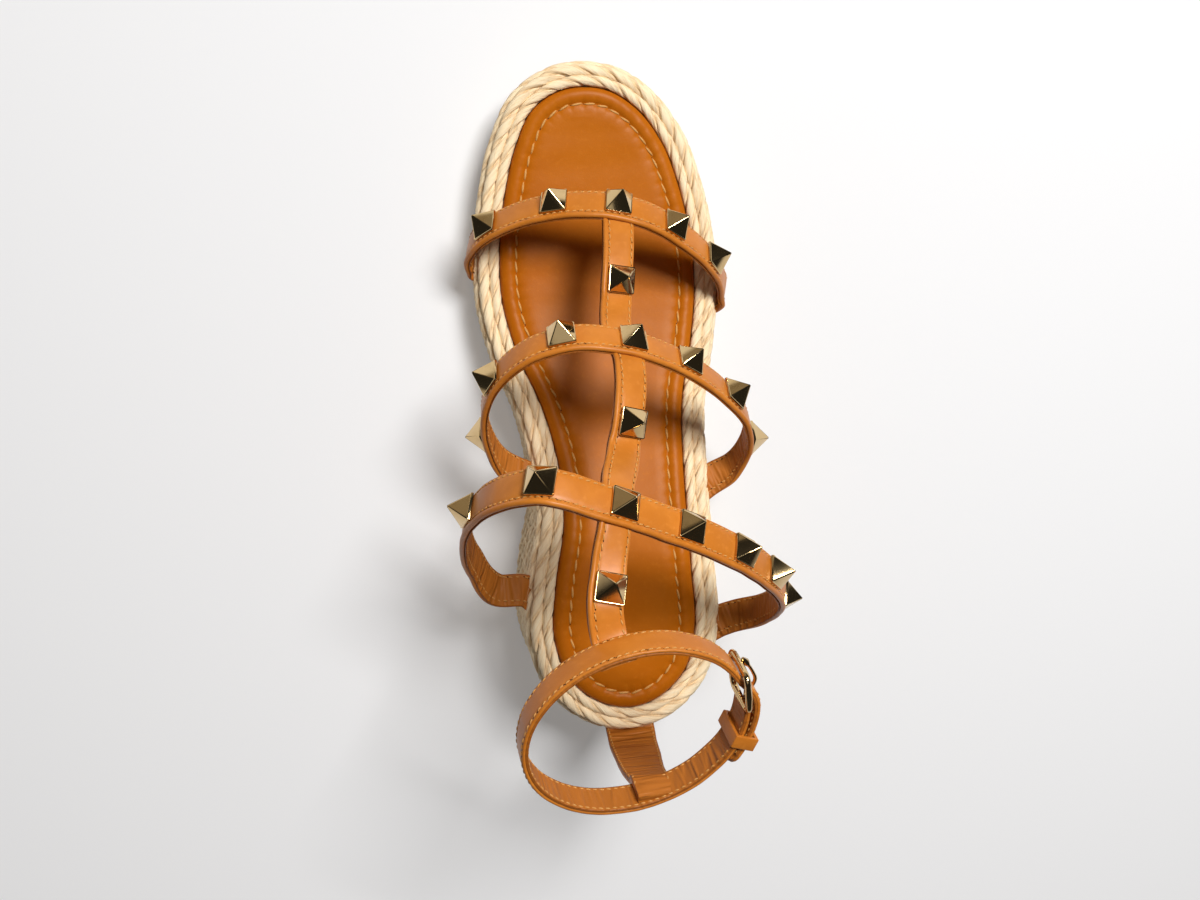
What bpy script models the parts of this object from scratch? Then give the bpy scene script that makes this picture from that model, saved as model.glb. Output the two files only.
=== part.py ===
"""Right-foot wedge espadrille with a studded cage of straps.

The toe points to +Y, the outer (little-toe) side to +X and the ground is z = 0. Sizes below are in
millimetres and are turned into metres when a mesh is written.
"""

import math
from collections import namedtuple

import bmesh
import bpy
import numpy as np
from mathutils import Matrix, Vector

MM = 0.001
GAP = 0.3

# The sole, from the ground up.
OUTSOLE_THICKNESS = 3.0
PLATFORM_HEIGHT = 26.0
HEEL_RISE = 30.5
RISE_STARTS_Y = 10.0
RISE_ENDS_Y = -125.0
TOE_SPRING = 5.5
SPRING_STARTS_Y = 30.0
SPRING_ENDS_Y = 94.0
PLAIT_THICKNESS = 9.2
PLAIT_SIDES = 10
ROW_PITCH = 6.65
ROW_BULGE = 1.1
ROW_COUNT = 7
ROW_LEVELS = [(0.0, -0.2), (0.22, 0.75), (0.5, 1.0), (0.78, 0.75)]
SHELF_REACH = 9.0
CUTTER_BACK_Y = -200.0
CUTTER_FRONT_Y = 121.0
CUTTER_STEP = 5.0
CUTTER_REACH = 90.0
CUTTER_TOP = 90.0
WALL_FLARE = math.tan(math.radians(3.0))
OUTSOLE_INSET = 1.0
OUTSOLE_CHAMFER = 0.8
OUTLINE_STEPS = 72

# The footbed's edge: a row for each station from toe to heel, with the inner and the outer side.
EdgeRow = namedtuple("EdgeRow", "y medial_x lateral_x")
TOE_TIP = (-3.2, 84.0)
HEEL_TIP = (0.6, -165.5)
FOOTBED_EDGE = [
    EdgeRow(82.4, -13.2, 7.0),
    EdgeRow(76.0, -23.4, 17.6),
    EdgeRow(62.0, -31.0, 28.6),
    EdgeRow(44.0, -36.2, 35.3),
    EdgeRow(20.0, -39.9, 39.8),
    EdgeRow(0.0, -39.9, 40.1),
    EdgeRow(-20.0, -35.6, 36.9),
    EdgeRow(-44.0, -26.7, 31.0),
    EdgeRow(-66.0, -22.2, 29.0),
    EdgeRow(-88.0, -21.9, 28.3),
    EdgeRow(-112.0, -26.8, 28.3),
    EdgeRow(-134.0, -28.8, 28.6),
    EdgeRow(-152.0, -23.0, 23.6),
    EdgeRow(-162.5, -11.0, 12.2),
]

# The footbed's section at its rim: how far in from the edge, and how far below the rim's top.
RimRow = namedtuple("RimRow", "inset drop")
FOOTBED_THICKNESS = PLAIT_THICKNESS - GAP
FOOTBED_RIM = [
    RimRow(0.7, FOOTBED_THICKNESS),
    RimRow(0.0, FOOTBED_THICKNESS - 0.8),
    RimRow(0.0, 1.7),
    RimRow(1.0, 0.4),
    RimRow(2.9, -0.4),
    RimRow(5.2, -0.1),
    RimRow(6.6, 1.1),
    RimRow(8.2, 0.7),
    RimRow(12.0, 0.6),
]

# Leather bands. A profile point lies across the band and out from its face.
LEATHER = 2.2
JOIN_DEPTH = 0.6
STRAP_PROFILE = [
    (-6.4, -1.8),
    (-6.3, -0.3),
    (-5.8, 0.0),
    (4.1, 0.0),
    (4.5, 0.4),
    (5.4, 0.6),
    (6.3, 0.1),
    (6.6, -1.0),
    (6.0, -LEATHER),
    (-5.8, -LEATHER),
]
BAR_HALF_WIDTH = 6.0
ANKLE_HALF_WIDTH = 5.6
STAY_FOOT_HALF_WIDTH = 10.0
STAY_HEAD_HALF_WIDTH = 6.5

# A cross strap's face, from its inner to its outer end, above the two tucks that hold it.
# lean tips the band's upper edge back from level; the ring's yaw turns it about the vertical.
StrapRow = namedtuple("StrapRow", "x y z lean")
Strap = namedtuple(
    "Strap", "name yaw medial_tuck_y lateral_tuck_y rows crossing_x bar_drift stud_shares"
)
TUCK_REACH = 9.5
TUCK_RUN = 1.8
TUCK_RISE = 0.6
TUCK_CLEARANCE = 1.0
TUCK_BEND = [0.0, 1.6, 3.0, 4.4, 6.0, 8.4]
BEND_ENDS = 12.0
SKIVE_LEFT = 0.5
SKIVE_LENGTH = 6.0
STRAP_STEP = 6.5
BAR_STEP = 4.0
CROSS_STRAPS = [
    Strap(
        name="one",
        yaw=12.0,
        medial_tuck_y=16.0,
        lateral_tuck_y=-1.0,
        rows=[
            StrapRow(-52.5, 19.0, 21.5, 20.0),
            StrapRow(-50.8, 25.4, 32.5, 34.0),
            StrapRow(-38.0, 32.6, 45.0, 37.0),
            StrapRow(-20.2, 36.2, 54.6, 37.0),
            StrapRow(-3.0, 36.0, 59.0, 37.0),
            StrapRow(14.0, 32.0, 58.4, 37.0),
            StrapRow(30.6, 23.6, 51.0, 37.0),
            StrapRow(44.0, 13.8, 41.0, 37.0),
            StrapRow(51.8, 4.6, 28.6, 28.0),
            StrapRow(53.0, -0.6, 21.6, 9.0),
        ],
        crossing_x=4.4,
        bar_drift=-0.13,
        stud_shares=(0.173, 0.359, 0.508, 0.662, 0.82),
    ),
    Strap(
        name="two",
        yaw=6.0,
        medial_tuck_y=-71.5,
        lateral_tuck_y=-77.0,
        rows=[
            StrapRow(-45.4, -63.5, 43.6, 34.0),
            StrapRow(-51.2, -51.5, 53.5, 46.0),
            StrapRow(-52.4, -40.6, 64.0, 49.0),
            StrapRow(-48.2, -27.6, 76.0, 49.0),
            StrapRow(-36.4, -17.2, 85.6, 49.0),
            StrapRow(-19.0, -12.6, 90.0, 49.0),
            StrapRow(0.0, -15.0, 89.6, 49.0),
            StrapRow(20.0, -22.8, 83.6, 49.0),
            StrapRow(39.6, -36.0, 73.6, 49.0),
            StrapRow(51.2, -48.6, 63.0, 49.0),
            StrapRow(54.2, -60.6, 52.0, 46.0),
            StrapRow(49.2, -71.8, 42.4, 34.0),
        ],
        crossing_x=-0.4,
        bar_drift=-0.04,
        stud_shares=(0.15, 0.285, 0.425, 0.535, 0.64, 0.75, 0.87),
    ),
    Strap(
        name="three",
        yaw=15.0,
        medial_tuck_y=-117.0,
        lateral_tuck_y=-133.0,
        rows=[
            StrapRow(-50.4, -113.0, 51.4, 20.0),
            StrapRow(-60.2, -97.0, 65.0, 30.0),
            StrapRow(-62.6, -83.0, 85.6, 31.5),
            StrapRow(-60.0, -70.6, 107.0, 31.5),
            StrapRow(-51.4, -61.4, 125.6, 31.5),
            StrapRow(-37.0, -57.6, 137.6, 31.5),
            StrapRow(-18.0, -64.2, 136.4, 31.5),
            StrapRow(4.0, -74.0, 130.0, 31.5),
            StrapRow(27.0, -86.0, 121.0, 31.5),
            StrapRow(46.6, -100.6, 106.0, 31.5),
            StrapRow(57.6, -115.0, 85.0, 31.5),
            StrapRow(54.6, -128.0, 60.6, 24.0),
        ],
        crossing_x=-11.8,
        bar_drift=-0.38,
        stud_shares=(0.28, 0.418, 0.513, 0.601, 0.684, 0.76, 0.86),
    ),
]

# The T-bar between two crossings: its middle, its climb there, how far it drifts inwards for each
# millimetre that it runs to the heel, and its roll to the outer side.
BarRow = namedtuple("BarRow", "x y z climb drift roll")
BAR_MIDDLES = [
    BarRow(0.9, 6.7, 71.0, 13.0, -0.13, 14.0),
    BarRow(-2.8, -43.0, 105.0, 13.0, -0.22, 22.0),
    BarRow(-18.2, -92.0, 143.0, 24.0, -0.2, 8.0),
]
BAR_MIDDLE_REACH = 5.5
BAR_CROSSING_REACH = 4.5

# The ankle strap is an oval that dips to the back; its free end runs on past the buckle.
ANKLE_CENTRE = (-11.0, -139.5, 140.0)
ANKLE_HALF_LENGTH = 33.0
ANKLE_HALF_SPREAD = 39.0
ANKLE_DIP = 20.0
ANKLE_TURN = 14.0
ANKLE_STATIONS = 66
FRONT_ANGLE = 270.0
BACK_ANGLE = 90.0
BUCKLE_ANGLE = 12.0
TAIL_ANGLE = 50.0
TAIL_LIFT = 3.3
TAIL_RISE_STARTS = 345.6
TAIL_RISE_ENDS = 366.0
BUCKLE_BAR_ANGLE = 8.0
BUCKLE_BAR_LIFT = -1.7
BUCKLE_FRONT_ANGLE = -17.0
BUCKLE_FRONT_LIFT = 0.2
BUCKLE_WIDTH = 16.4
BUCKLE_WIRE = 1.1
BUCKLE_CORNER = 3.0
BUCKLE_CORNER_STEPS = 4
KEEPER_WIDTH = 5.0
KEEPER_WALL = 1.2
KEEPER_ANGLE = 32.0
KEEPER_CLEARANCE = 0.42
ProngRow = namedtuple("ProngRow", "angle lift")
PRONG_WIRE = 0.7
PRONG_TAPER = 0.3
PRONG_STATIONS = 14
PRONG_SLOT_ANGLE = 1.4
PRONG_SLOT_LENGTH = 4.6
PRONG_SLOT_REACH = (-3.2, 1.5)
PRONG_ROWS = [
    ProngRow(7.6, 0.1),
    ProngRow(4.0, 0.7),
    ProngRow(1.2, 2.4),
    ProngRow(-2.0, 3.9),
    ProngRow(-9.0, 4.0),
    ProngRow(-19.0, 3.6),
]

# The back stay's face above its tuck at the heel, bottom to top.
StayRow = namedtuple("StayRow", "x y z")
STAY_STATIONS = 16
STAY_ROWS = [
    StayRow(0.6, -179.0, 54.0),
    StayRow(0.0, -180.0, 70.0),
    StayRow(-1.2, -177.6, 92.0),
    StayRow(-2.0, -173.4, 112.0),
]

# Studs: a low square plinth under a pyramid.
STUD_SIDE = 10.3
STUD_HEIGHT = 7.5
STUD_PLINTH = 1.0
STUD_CHAMFER = 0.4
STUD_SHIFT = -1.1

Finish = namedtuple("Finish", "name colour roughness metallic")
TAN_LEATHER = Finish("tan_leather", (0.64, 0.22, 0.045), 0.45, 0.0)
FOOTBED_LEATHER = Finish("footbed_leather", (0.50, 0.16, 0.03), 0.42, 0.0)
JUTE = Finish("jute", (0.84, 0.66, 0.42), 0.75, 0.0)
RUBBER = Finish("rubber", (0.05, 0.035, 0.025), 0.8, 0.0)
PALE_GOLD = Finish("pale_gold", (0.78, 0.66, 0.42), 0.18, 1.0)


# ---------------------------------------------------------------------------
# Curves
# ---------------------------------------------------------------------------


class SmoothPath:
    """A smooth curve through rows of numbers, of which the first two or three are a position."""

    def __init__(self, rows):
        points = np.array(rows, float)
        spans = np.linalg.norm(np.diff(points[:, :3], axis=0), axis=1)
        self.points = points
        self.spans = spans
        self.knots = np.concatenate([[0.0], np.cumsum(spans)])
        self.slopes = self.find_slopes()

    def find_slopes(self):
        """The curve's direction at each row, weighed by how near its neighbours are."""
        steps = np.diff(self.points, axis=0) / self.spans[:, None]
        before, after = self.spans[:-1, None], self.spans[1:, None]
        middle = (steps[:-1] * after + steps[1:] * before) / (before + after)
        return np.vstack([steps[:1], middle, steps[-1:]])

    @property
    def length(self):
        return self.knots[-1]

    def at(self, distance):
        """The row and its rate of change at a distance along the curve."""
        index = int(np.searchsorted(self.knots, distance, side="right")) - 1
        index = min(max(index, 0), len(self.spans) - 1)
        span = self.spans[index]
        t = (distance - self.knots[index]) / span
        start, end = self.points[index], self.points[index + 1]
        leave, arrive = self.slopes[index] * span, self.slopes[index + 1] * span
        value = (
            (2 * t**3 - 3 * t**2 + 1) * start
            + (t**3 - 2 * t**2 + t) * leave
            + (3 * t**2 - 2 * t**3) * end
            + (t**3 - t**2) * arrive
        )
        rate = (
            (6 * t**2 - 6 * t) * (start - end)
            + (3 * t**2 - 4 * t + 1) * leave
            + (3 * t**2 - 2 * t) * arrive
        ) / span
        return value, rate

    def reaching(self, column, value):
        """The distance along the curve at which a column comes nearest to a value."""
        trials = np.linspace(0.0, self.length, 1200)
        return min(trials, key=lambda trial: abs(self.at(trial)[0][column] - value))

    def nearest(self, point):
        """The distance along the curve at which it passes nearest to a point."""
        trials = np.linspace(0.0, self.length, 1200)
        return min(trials, key=lambda trial: np.linalg.norm(self.at(trial)[0][:3] - point))


Station = namedtuple("Station", "point along width out")


def station_on(path, distance):
    """A band's frame: its place, the way it runs, the way its width goes and its face's normal."""
    row, rate = path.at(distance)
    along = Vector(rate[:3]).normalized()
    width = Vector(row[3:6])
    width = (width - along * width.dot(along)).normalized()
    return Station(Vector(row[:3]), along, width, width.cross(along))


def smoothstep(value):
    value = min(max(value, 0.0), 1.0)
    return value * value * (3.0 - 2.0 * value)


# ---------------------------------------------------------------------------
# The sole's own form
# ---------------------------------------------------------------------------


def ground_lift(y):
    """How far the sole's underside stands off the ground, which is only at the toe."""
    reach = max(y - SPRING_STARTS_Y, 0.0) / (SPRING_ENDS_Y - SPRING_STARTS_Y)
    return TOE_SPRING * reach**2


def footbed_height(y):
    """The height of the footbed's rim above the ground."""
    rise = smoothstep((RISE_STARTS_Y - y) / (RISE_STARTS_Y - RISE_ENDS_Y))
    return PLATFORM_HEIGHT + ground_lift(y) + HEEL_RISE * rise


def shelf_height(y):
    """The top of the jute wedge, under the footbed and the top plait."""
    return footbed_height(y) - PLAIT_THICKNESS - GAP


LATERAL_EDGE = SmoothPath([TOE_TIP] + [(row.lateral_x, row.y) for row in FOOTBED_EDGE] + [HEEL_TIP])
MEDIAL_EDGE = SmoothPath([TOE_TIP] + [(row.medial_x, row.y) for row in FOOTBED_EDGE] + [HEEL_TIP])
for edge, side in ((LATERAL_EDGE, 1.0), (MEDIAL_EDGE, -1.0)):
    edge.slopes[0] = (side, 0.0)
    edge.slopes[-1] = (-side, 0.0)


def outline_normals(points):
    """The outward direction in plan at each point of a closed outline that runs clockwise."""
    along = np.roll(points, -1, axis=0) - np.roll(points, 1, axis=0)
    outward = np.column_stack([-along[:, 1], along[:, 0]])
    return outward / np.linalg.norm(outward, axis=1)[:, None]


def make_outline():
    """The footbed's edge, clockwise from the toe's tip; point i faces point OUTLINE_STEPS - i."""
    half = OUTLINE_STEPS // 2
    lateral = [LATERAL_EDGE.at(LATERAL_EDGE.length * i / half)[0] for i in range(half + 1)]
    medial = [MEDIAL_EDGE.at(MEDIAL_EDGE.length * i / half)[0] for i in range(1, half)]
    return np.array(lateral + medial[::-1])


OUTLINE = make_outline()
OUTWARD = outline_normals(OUTLINE)


def ring(offset, height):
    """The outline moved out by an offset; both may be numbers or functions of the point's y."""
    made = []
    for (x, y), (out_x, out_y) in zip(OUTLINE, OUTWARD):
        reach = offset(y) if callable(offset) else offset
        moved_y = y + out_y * reach
        level = height(moved_y) if callable(height) else height
        made.append((x + out_x * reach, moved_y, level))
    return made


# ---------------------------------------------------------------------------
# Meshes and objects
# ---------------------------------------------------------------------------


def make_material(finish):
    material = bpy.data.materials.get(finish.name)
    if material is None:
        material = bpy.data.materials.new(finish.name)
        material.use_nodes = True
        shader = material.node_tree.nodes["Principled BSDF"]
        shader.inputs["Base Color"].default_value = (*finish.colour, 1.0)
        shader.inputs["Roughness"].default_value = finish.roughness
        shader.inputs["Metallic"].default_value = finish.metallic
    return material


def add_object(name, body, finish, smooth_below=math.radians(40.0)):
    """Write a bmesh in millimetres as an object in metres, closed and facing out."""
    bmesh.ops.recalc_face_normals(body, faces=body.faces)
    bmesh.ops.scale(body, vec=(MM, MM, MM), verts=body.verts)
    mesh = bpy.data.meshes.new(name)
    body.to_mesh(mesh)
    body.free()
    mesh.shade_smooth()
    mesh.set_sharp_from_angle(angle=smooth_below)
    mesh.materials.append(make_material(finish))
    made = bpy.data.objects.new(name, mesh)
    bpy.context.scene.collection.objects.link(made)
    return made


def hide_helper(helper):
    helper.hide_render = True
    helper.display_type = "WIRE"


def add_boolean(target, helper, operation):
    hide_helper(helper)
    modifier = target.modifiers.new(helper.name, "BOOLEAN")
    modifier.operation = operation
    modifier.object = helper


def bridge(body, lower, upper):
    """Join two rings of as many vertices with quads."""
    count = len(lower)
    for i in range(count):
        after = (i + 1) % count
        body.faces.new((lower[i], lower[after], upper[after], upper[i]))


def add_rings(body, rings, closed=False):
    """Skin rings of points one after another; the last joins the first where they close."""
    made = [[body.verts.new(point) for point in points] for points in rings]
    for lower, upper in zip(made, made[1:]):
        bridge(body, lower, upper)
    if closed:
        bridge(body, made[-1], made[0])
    return made


def ladder(body, loop):
    """Fill an outline ring with rungs from its outer side to its inner side."""
    half = len(loop) // 2
    body.faces.new((loop[0], loop[1], loop[-1]))
    for i in range(1, half - 1):
        body.faces.new((loop[i], loop[i + 1], loop[-i - 1], loop[-i]))
    body.faces.new((loop[half - 1], loop[half], loop[half + 1]))


def outline_solid(name, rings, finish):
    """A solid from outline rings, bottom to top, with both ends filled."""
    body = bmesh.new()
    made = add_rings(body, rings)
    ladder(body, made[0])
    ladder(body, made[-1])
    return add_object(name, body, finish)


def place(station, across, out, onward=0.0):
    return station.point + station.width * across + station.out * out + station.along * onward


def band(name, path, distances, profile_at):
    """Sweep a leather band's profile along its path and fill its two ends."""
    body = bmesh.new()
    rings = []
    for distance in distances:
        station = station_on(path, distance)
        rings.append([place(station, across, out) for across, out in profile_at(distance)])
    made = add_rings(body, rings)
    body.faces.new(made[0])
    body.faces.new(made[-1])
    return add_object(name, body, TAN_LEATHER)


def flat_profile(half_width, rounding=0.4):
    """A plain band with softened edges."""
    inner = half_width - rounding
    return [
        (-half_width, -LEATHER / 2),
        (-inner, 0.0),
        (inner, 0.0),
        (half_width, -LEATHER / 2),
        (inner, -LEATHER),
        (-inner, -LEATHER),
    ]


# ---------------------------------------------------------------------------
# The sole's pieces
# ---------------------------------------------------------------------------


def wall_offset(y, height, bulge):
    """How far the jute wall stands out from the footbed's edge at a height."""
    return SHELF_REACH + WALL_FLARE * (shelf_height(y) - height) + bulge


def make_outsole():
    def edge(y):
        return wall_offset(y, OUTSOLE_THICKNESS, 0.0) - OUTSOLE_INSET

    rings = [
        ring(lambda y: edge(y) - OUTSOLE_CHAMFER, ground_lift),
        ring(edge, lambda y: ground_lift(y) + OUTSOLE_CHAMFER),
        ring(edge, lambda y: ground_lift(y) + OUTSOLE_THICKNESS),
    ]
    return outline_solid("outsole", rings, RUBBER)


def make_jute_wedge():
    """A tall stack of rounded rows, cut back to the footbed's slope."""
    rings = []
    for row in range(ROW_COUNT):
        for share, bulge in ROW_LEVELS:
            up = OUTSOLE_THICKNESS + GAP + (row + share) * ROW_PITCH

            def height(y, up=up):
                return ground_lift(y) + up

            def offset(y, up=up, bulge=bulge):
                return wall_offset(y, ground_lift(y) + up, bulge * ROW_BULGE)

            rings.append(ring(offset, height))
    wedge = outline_solid("jute_wedge", rings, JUTE)
    add_boolean(wedge, make_slope_cutter(), "DIFFERENCE")
    return wedge


def make_slope_cutter():
    """Everything above the shelf that carries the footbed and the top plait."""
    stations = np.arange(CUTTER_BACK_Y, CUTTER_FRONT_Y, CUTTER_STEP)
    outline = [(y, shelf_height(y)) for y in stations]
    outline += [(stations[-1], CUTTER_TOP), (stations[0], CUTTER_TOP)]
    body = bmesh.new()
    sides = [[(x, y, z) for y, z in outline] for x in (-CUTTER_REACH, CUTTER_REACH)]
    for side in add_rings(body, sides):
        body.faces.new(side)
    return add_object("slope_cutter", body, JUTE)


def make_top_plait():
    """The rounded rope round the footbed."""
    radius = PLAIT_THICKNESS / 2
    offsets, drops = [], []
    for i in range(PLAIT_SIDES):
        turn = 2 * math.pi * (i + 0.5) / PLAIT_SIDES
        offsets.append(GAP + radius + radius * math.cos(turn))
        drops.append(radius - radius * math.sin(turn))
    rings = [
        ring(offset, lambda y, drop=drop: footbed_height(y) - drop)
        for offset, drop in zip(offsets, drops)
    ]
    body = bmesh.new()
    add_rings(body, rings, closed=True)
    return add_object("top_plait", body, JUTE)


def make_footbed():
    rings = [
        ring(-row.inset, lambda y, drop=row.drop: footbed_height(y) - drop) for row in FOOTBED_RIM
    ]
    return outline_solid("footbed", rings, FOOTBED_LEATHER)


# ---------------------------------------------------------------------------
# The cage of straps
# ---------------------------------------------------------------------------


def tuck_rows(edge, side, y):
    """Where a strap goes in over the wedge's shelf, and the row just outside."""
    (x, y), rate = edge.at(edge.reaching(1, y))
    along = Vector((rate[0], rate[1], 0.0)).normalized()
    outward = Vector((-along.y, along.x, 0.0)) * side
    slope = (shelf_height(y - 3.0) - shelf_height(y + 3.0)) / 6.0
    width = Vector((along.x, along.y, slope)).normalized()
    level = shelf_height(y) + TUCK_CLEARANCE
    inner = Vector((x, y, level)) + outward * TUCK_REACH
    outer = inner + outward * TUCK_RUN + Vector((0.0, 0.0, TUCK_RISE))
    return [(*inner, *width), (*outer, *width)]


def strap_path(strap):
    yaw = math.radians(strap.yaw)
    rows = tuck_rows(MEDIAL_EDGE, -1.0, strap.medial_tuck_y)
    for row in strap.rows:
        lean = math.radians(row.lean)
        level = math.cos(lean)
        width = (-math.sin(yaw) * level, -math.cos(yaw) * level, math.sin(lean))
        rows.append((row.x, row.y, row.z, *width))
    rows += tuck_rows(LATERAL_EDGE, 1.0, strap.lateral_tuck_y)[::-1]
    return SmoothPath(rows)


def strap_distances(length):
    """Close stations round the tight bend at each tuck, wide ones over the arch."""
    arch = np.linspace(BEND_ENDS, length - BEND_ENDS, int(length / STRAP_STEP))
    return TUCK_BEND + list(arch) + [length - step for step in reversed(TUCK_BEND)]


def skived(profile, from_end):
    """The profile thinned towards a tucked end."""
    kept = SKIVE_LEFT + (1.0 - SKIVE_LEFT) * smoothstep(from_end / SKIVE_LENGTH)
    return [(across, out * kept) for across, out in profile]


def make_cross_strap(strap):
    path = strap_path(strap)

    def profile_at(distance):
        return skived(STRAP_PROFILE, min(distance, path.length - distance))

    return band(f"cross_strap_{strap.name}", path, strap_distances(path.length), profile_at)


def crossing_of(strap):
    """The strap's frame where the T-bar runs under it."""
    path = strap_path(strap)
    return station_on(path, path.reaching(0, strap.crossing_x))


def bar_crossing_rows(crossing, drift):
    """The T-bar lies flat against the strap's inside and runs on towards the heel."""
    heelward = Vector((drift, -1.0, 0.0))
    along = (heelward - crossing.out * heelward.dot(crossing.out)).normalized()
    width = along.cross(crossing.out)
    middle = crossing.point - crossing.out * (LEATHER - JOIN_DEPTH)
    steps = (-BAR_CROSSING_REACH, BAR_CROSSING_REACH)
    return [(*(middle + along * step), *width) for step in steps]


def bar_middle_rows(row):
    climb, roll = math.radians(row.climb), math.radians(row.roll)
    along = Vector((row.drift, -math.cos(climb), math.sin(climb))).normalized()
    width = Vector((-math.cos(roll), 0.0, math.sin(roll)))
    middle = Vector((row.x, row.y, row.z))
    return [(*(middle + along * step), *width) for step in (-BAR_MIDDLE_REACH, BAR_MIDDLE_REACH)]


def bar_ankle_rows():
    """The T-bar's head stands up inside the ankle strap."""
    front = ankle_station(FRONT_ANGLE)
    middle = front.point - front.out * (LEATHER - JOIN_DEPTH)
    steps = (-BAR_CROSSING_REACH, BAR_CROSSING_REACH)
    return [(*(middle + front.width * step), *(-front.along)) for step in steps]


def bar_path():
    rows = []
    for strap, middle in zip(CROSS_STRAPS, BAR_MIDDLES):
        rows += bar_crossing_rows(crossing_of(strap), strap.bar_drift)
        rows += bar_middle_rows(middle)
    rows += bar_ankle_rows()
    return SmoothPath(rows)


def make_t_bar():
    path = bar_path()
    distances = np.linspace(0.0, path.length, int(path.length / BAR_STEP))
    return band("t_bar", path, distances, lambda distance: flat_profile(BAR_HALF_WIDTH))


def ankle_point(angle, lift):
    """A point on the ankle oval; the angle runs clockwise from above, from the outer side."""
    turn = math.radians(angle)
    local = Vector(
        (
            (ANKLE_HALF_SPREAD + lift) * math.cos(turn),
            -(ANKLE_HALF_LENGTH + lift) * math.sin(turn),
            0.0,
        )
    )
    return Vector(ANKLE_CENTRE) + ANKLE_TILT @ local


def ankle_lift(angle):
    """The free end climbs over the buckle's bar and lies on the strap's first stretch."""
    return TAIL_LIFT * smoothstep((angle - TAIL_RISE_STARTS) / (TAIL_RISE_ENDS - TAIL_RISE_STARTS))


def make_ankle_path():
    up = ANKLE_TILT @ Vector((0.0, 0.0, 1.0))
    rows = []
    for angle in np.linspace(BUCKLE_ANGLE, 360.0 + TAIL_ANGLE, ANKLE_STATIONS):
        rows.append((*ankle_point(angle, ankle_lift(angle)), *up))
    return SmoothPath(rows)


ANKLE_TILT = Matrix.Rotation(math.radians(ANKLE_TURN), 3, "Z") @ Matrix.Rotation(
    math.radians(ANKLE_DIP), 3, "X"
)
ANKLE_PATH = make_ankle_path()


def ankle_station(angle):
    """The ankle strap's frame at an angle round its oval."""
    return station_on(ANKLE_PATH, ANKLE_PATH.nearest(ankle_point(angle, ankle_lift(angle))))


def make_ankle_strap():
    distances = np.linspace(0.0, ANKLE_PATH.length, ANKLE_STATIONS)
    profile = flat_profile(ANKLE_HALF_WIDTH)
    return band("ankle_strap", ANKLE_PATH, distances, lambda distance: profile)


def stay_path():
    level = shelf_height(HEEL_TIP[1]) + TUCK_CLEARANCE
    inner = HEEL_TIP[1] - TUCK_REACH
    rows = [(HEEL_TIP[0], inner, level), (HEEL_TIP[0], inner - TUCK_RUN, level + TUCK_RISE)]
    rows += [tuple(row) for row in STAY_ROWS]
    back = ankle_station(BACK_ANGLE)
    for step in (-BAR_CROSSING_REACH, BAR_CROSSING_REACH):
        rows.append(tuple(back.point + back.width * step - back.out * (LEATHER - JOIN_DEPTH)))
    return SmoothPath([(*row, 1.0, 0.0, 0.0) for row in rows])


def make_back_stay():
    path = stay_path()
    distances = TUCK_BEND + list(np.linspace(BEND_ENDS, path.length, STAY_STATIONS))

    def profile_at(distance):
        taper = smoothstep(distance / path.length)
        half = STAY_FOOT_HALF_WIDTH + (STAY_HEAD_HALF_WIDTH - STAY_FOOT_HALF_WIDTH) * taper
        return skived(flat_profile(half), distance)

    return band("back_stay", path, distances, profile_at)


def make_caged_upper():
    """One hollow cage: every band joined where it crosses the next."""
    upper = make_t_bar()
    upper.name = "caged_upper"
    for strap in CROSS_STRAPS:
        add_boolean(upper, make_cross_strap(strap), "UNION")
    add_boolean(upper, make_ankle_strap(), "UNION")
    add_boolean(upper, make_back_stay(), "UNION")
    add_boolean(upper, make_prong_slot(), "DIFFERENCE")
    return upper


# ---------------------------------------------------------------------------
# Studs and buckle
# ---------------------------------------------------------------------------


def seat_on(path, distance, reach):
    """The frame at a distance, and how far out a flat base must stay to clear the band's face."""
    station = station_on(path, distance)
    lift = 0.0
    for step in np.linspace(-reach, reach, 9):
        near = station_on(path, distance + step)
        for across in (-reach, 0.0, reach):
            lift = max(lift, (place(near, across, 0.0) - station.point).dot(station.out))
    return station, lift + GAP


def make_stud(name, path, distance, shift):
    """A pyramid whose base lies just off the band's face."""
    half = STUD_SIDE / 2
    station, lift = seat_on(path, distance, half)
    levels = [
        (half - STUD_CHAMFER / 2, 0.0),
        (half, STUD_CHAMFER / 2),
        (half, STUD_PLINTH - STUD_CHAMFER / 2),
        (half - STUD_CHAMFER, STUD_PLINTH),
    ]
    body = bmesh.new()
    rings = []
    for reach, level in levels:
        corners = [(reach, reach), (reach, -reach), (-reach, -reach), (-reach, reach)]
        rings.append([place(station, shift + a, lift + level, b) for a, b in corners])
    made = add_rings(body, rings)
    body.faces.new(made[0])
    apex = body.verts.new(place(station, shift, lift + STUD_HEIGHT))
    for i in range(4):
        body.faces.new((made[-1][i], made[-1][(i + 1) % 4], apex))
    return add_object(name, body, PALE_GOLD, math.radians(20.0))


def make_strap_studs():
    for strap in CROSS_STRAPS:
        path = strap_path(strap)
        for number, share in enumerate(strap.stud_shares):
            make_stud(f"stud_{strap.name}_{number + 1}", path, share * path.length, STUD_SHIFT)


def make_bar_studs():
    path = bar_path()
    for number, row in enumerate(BAR_MIDDLES):
        distance = path.nearest((row.x, row.y, row.z))
        make_stud(f"stud_bar_{number + 1}", path, distance, STUD_SHIFT)


def buckle_seat():
    """The buckle's frame of reference: its back bar's middle, and the way to its front bar."""
    back = ankle_point(BUCKLE_BAR_ANGLE, BUCKLE_BAR_LIFT)
    front = ankle_point(BUCKLE_FRONT_ANGLE, GAP + BUCKLE_WIRE + BUCKLE_FRONT_LIFT)
    up = (ANKLE_TILT @ Vector((0.0, 0.0, 1.0))).normalized()
    along = (front - back).normalized()
    return Station(back, along, up, up.cross(along)), (front - back).length


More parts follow.
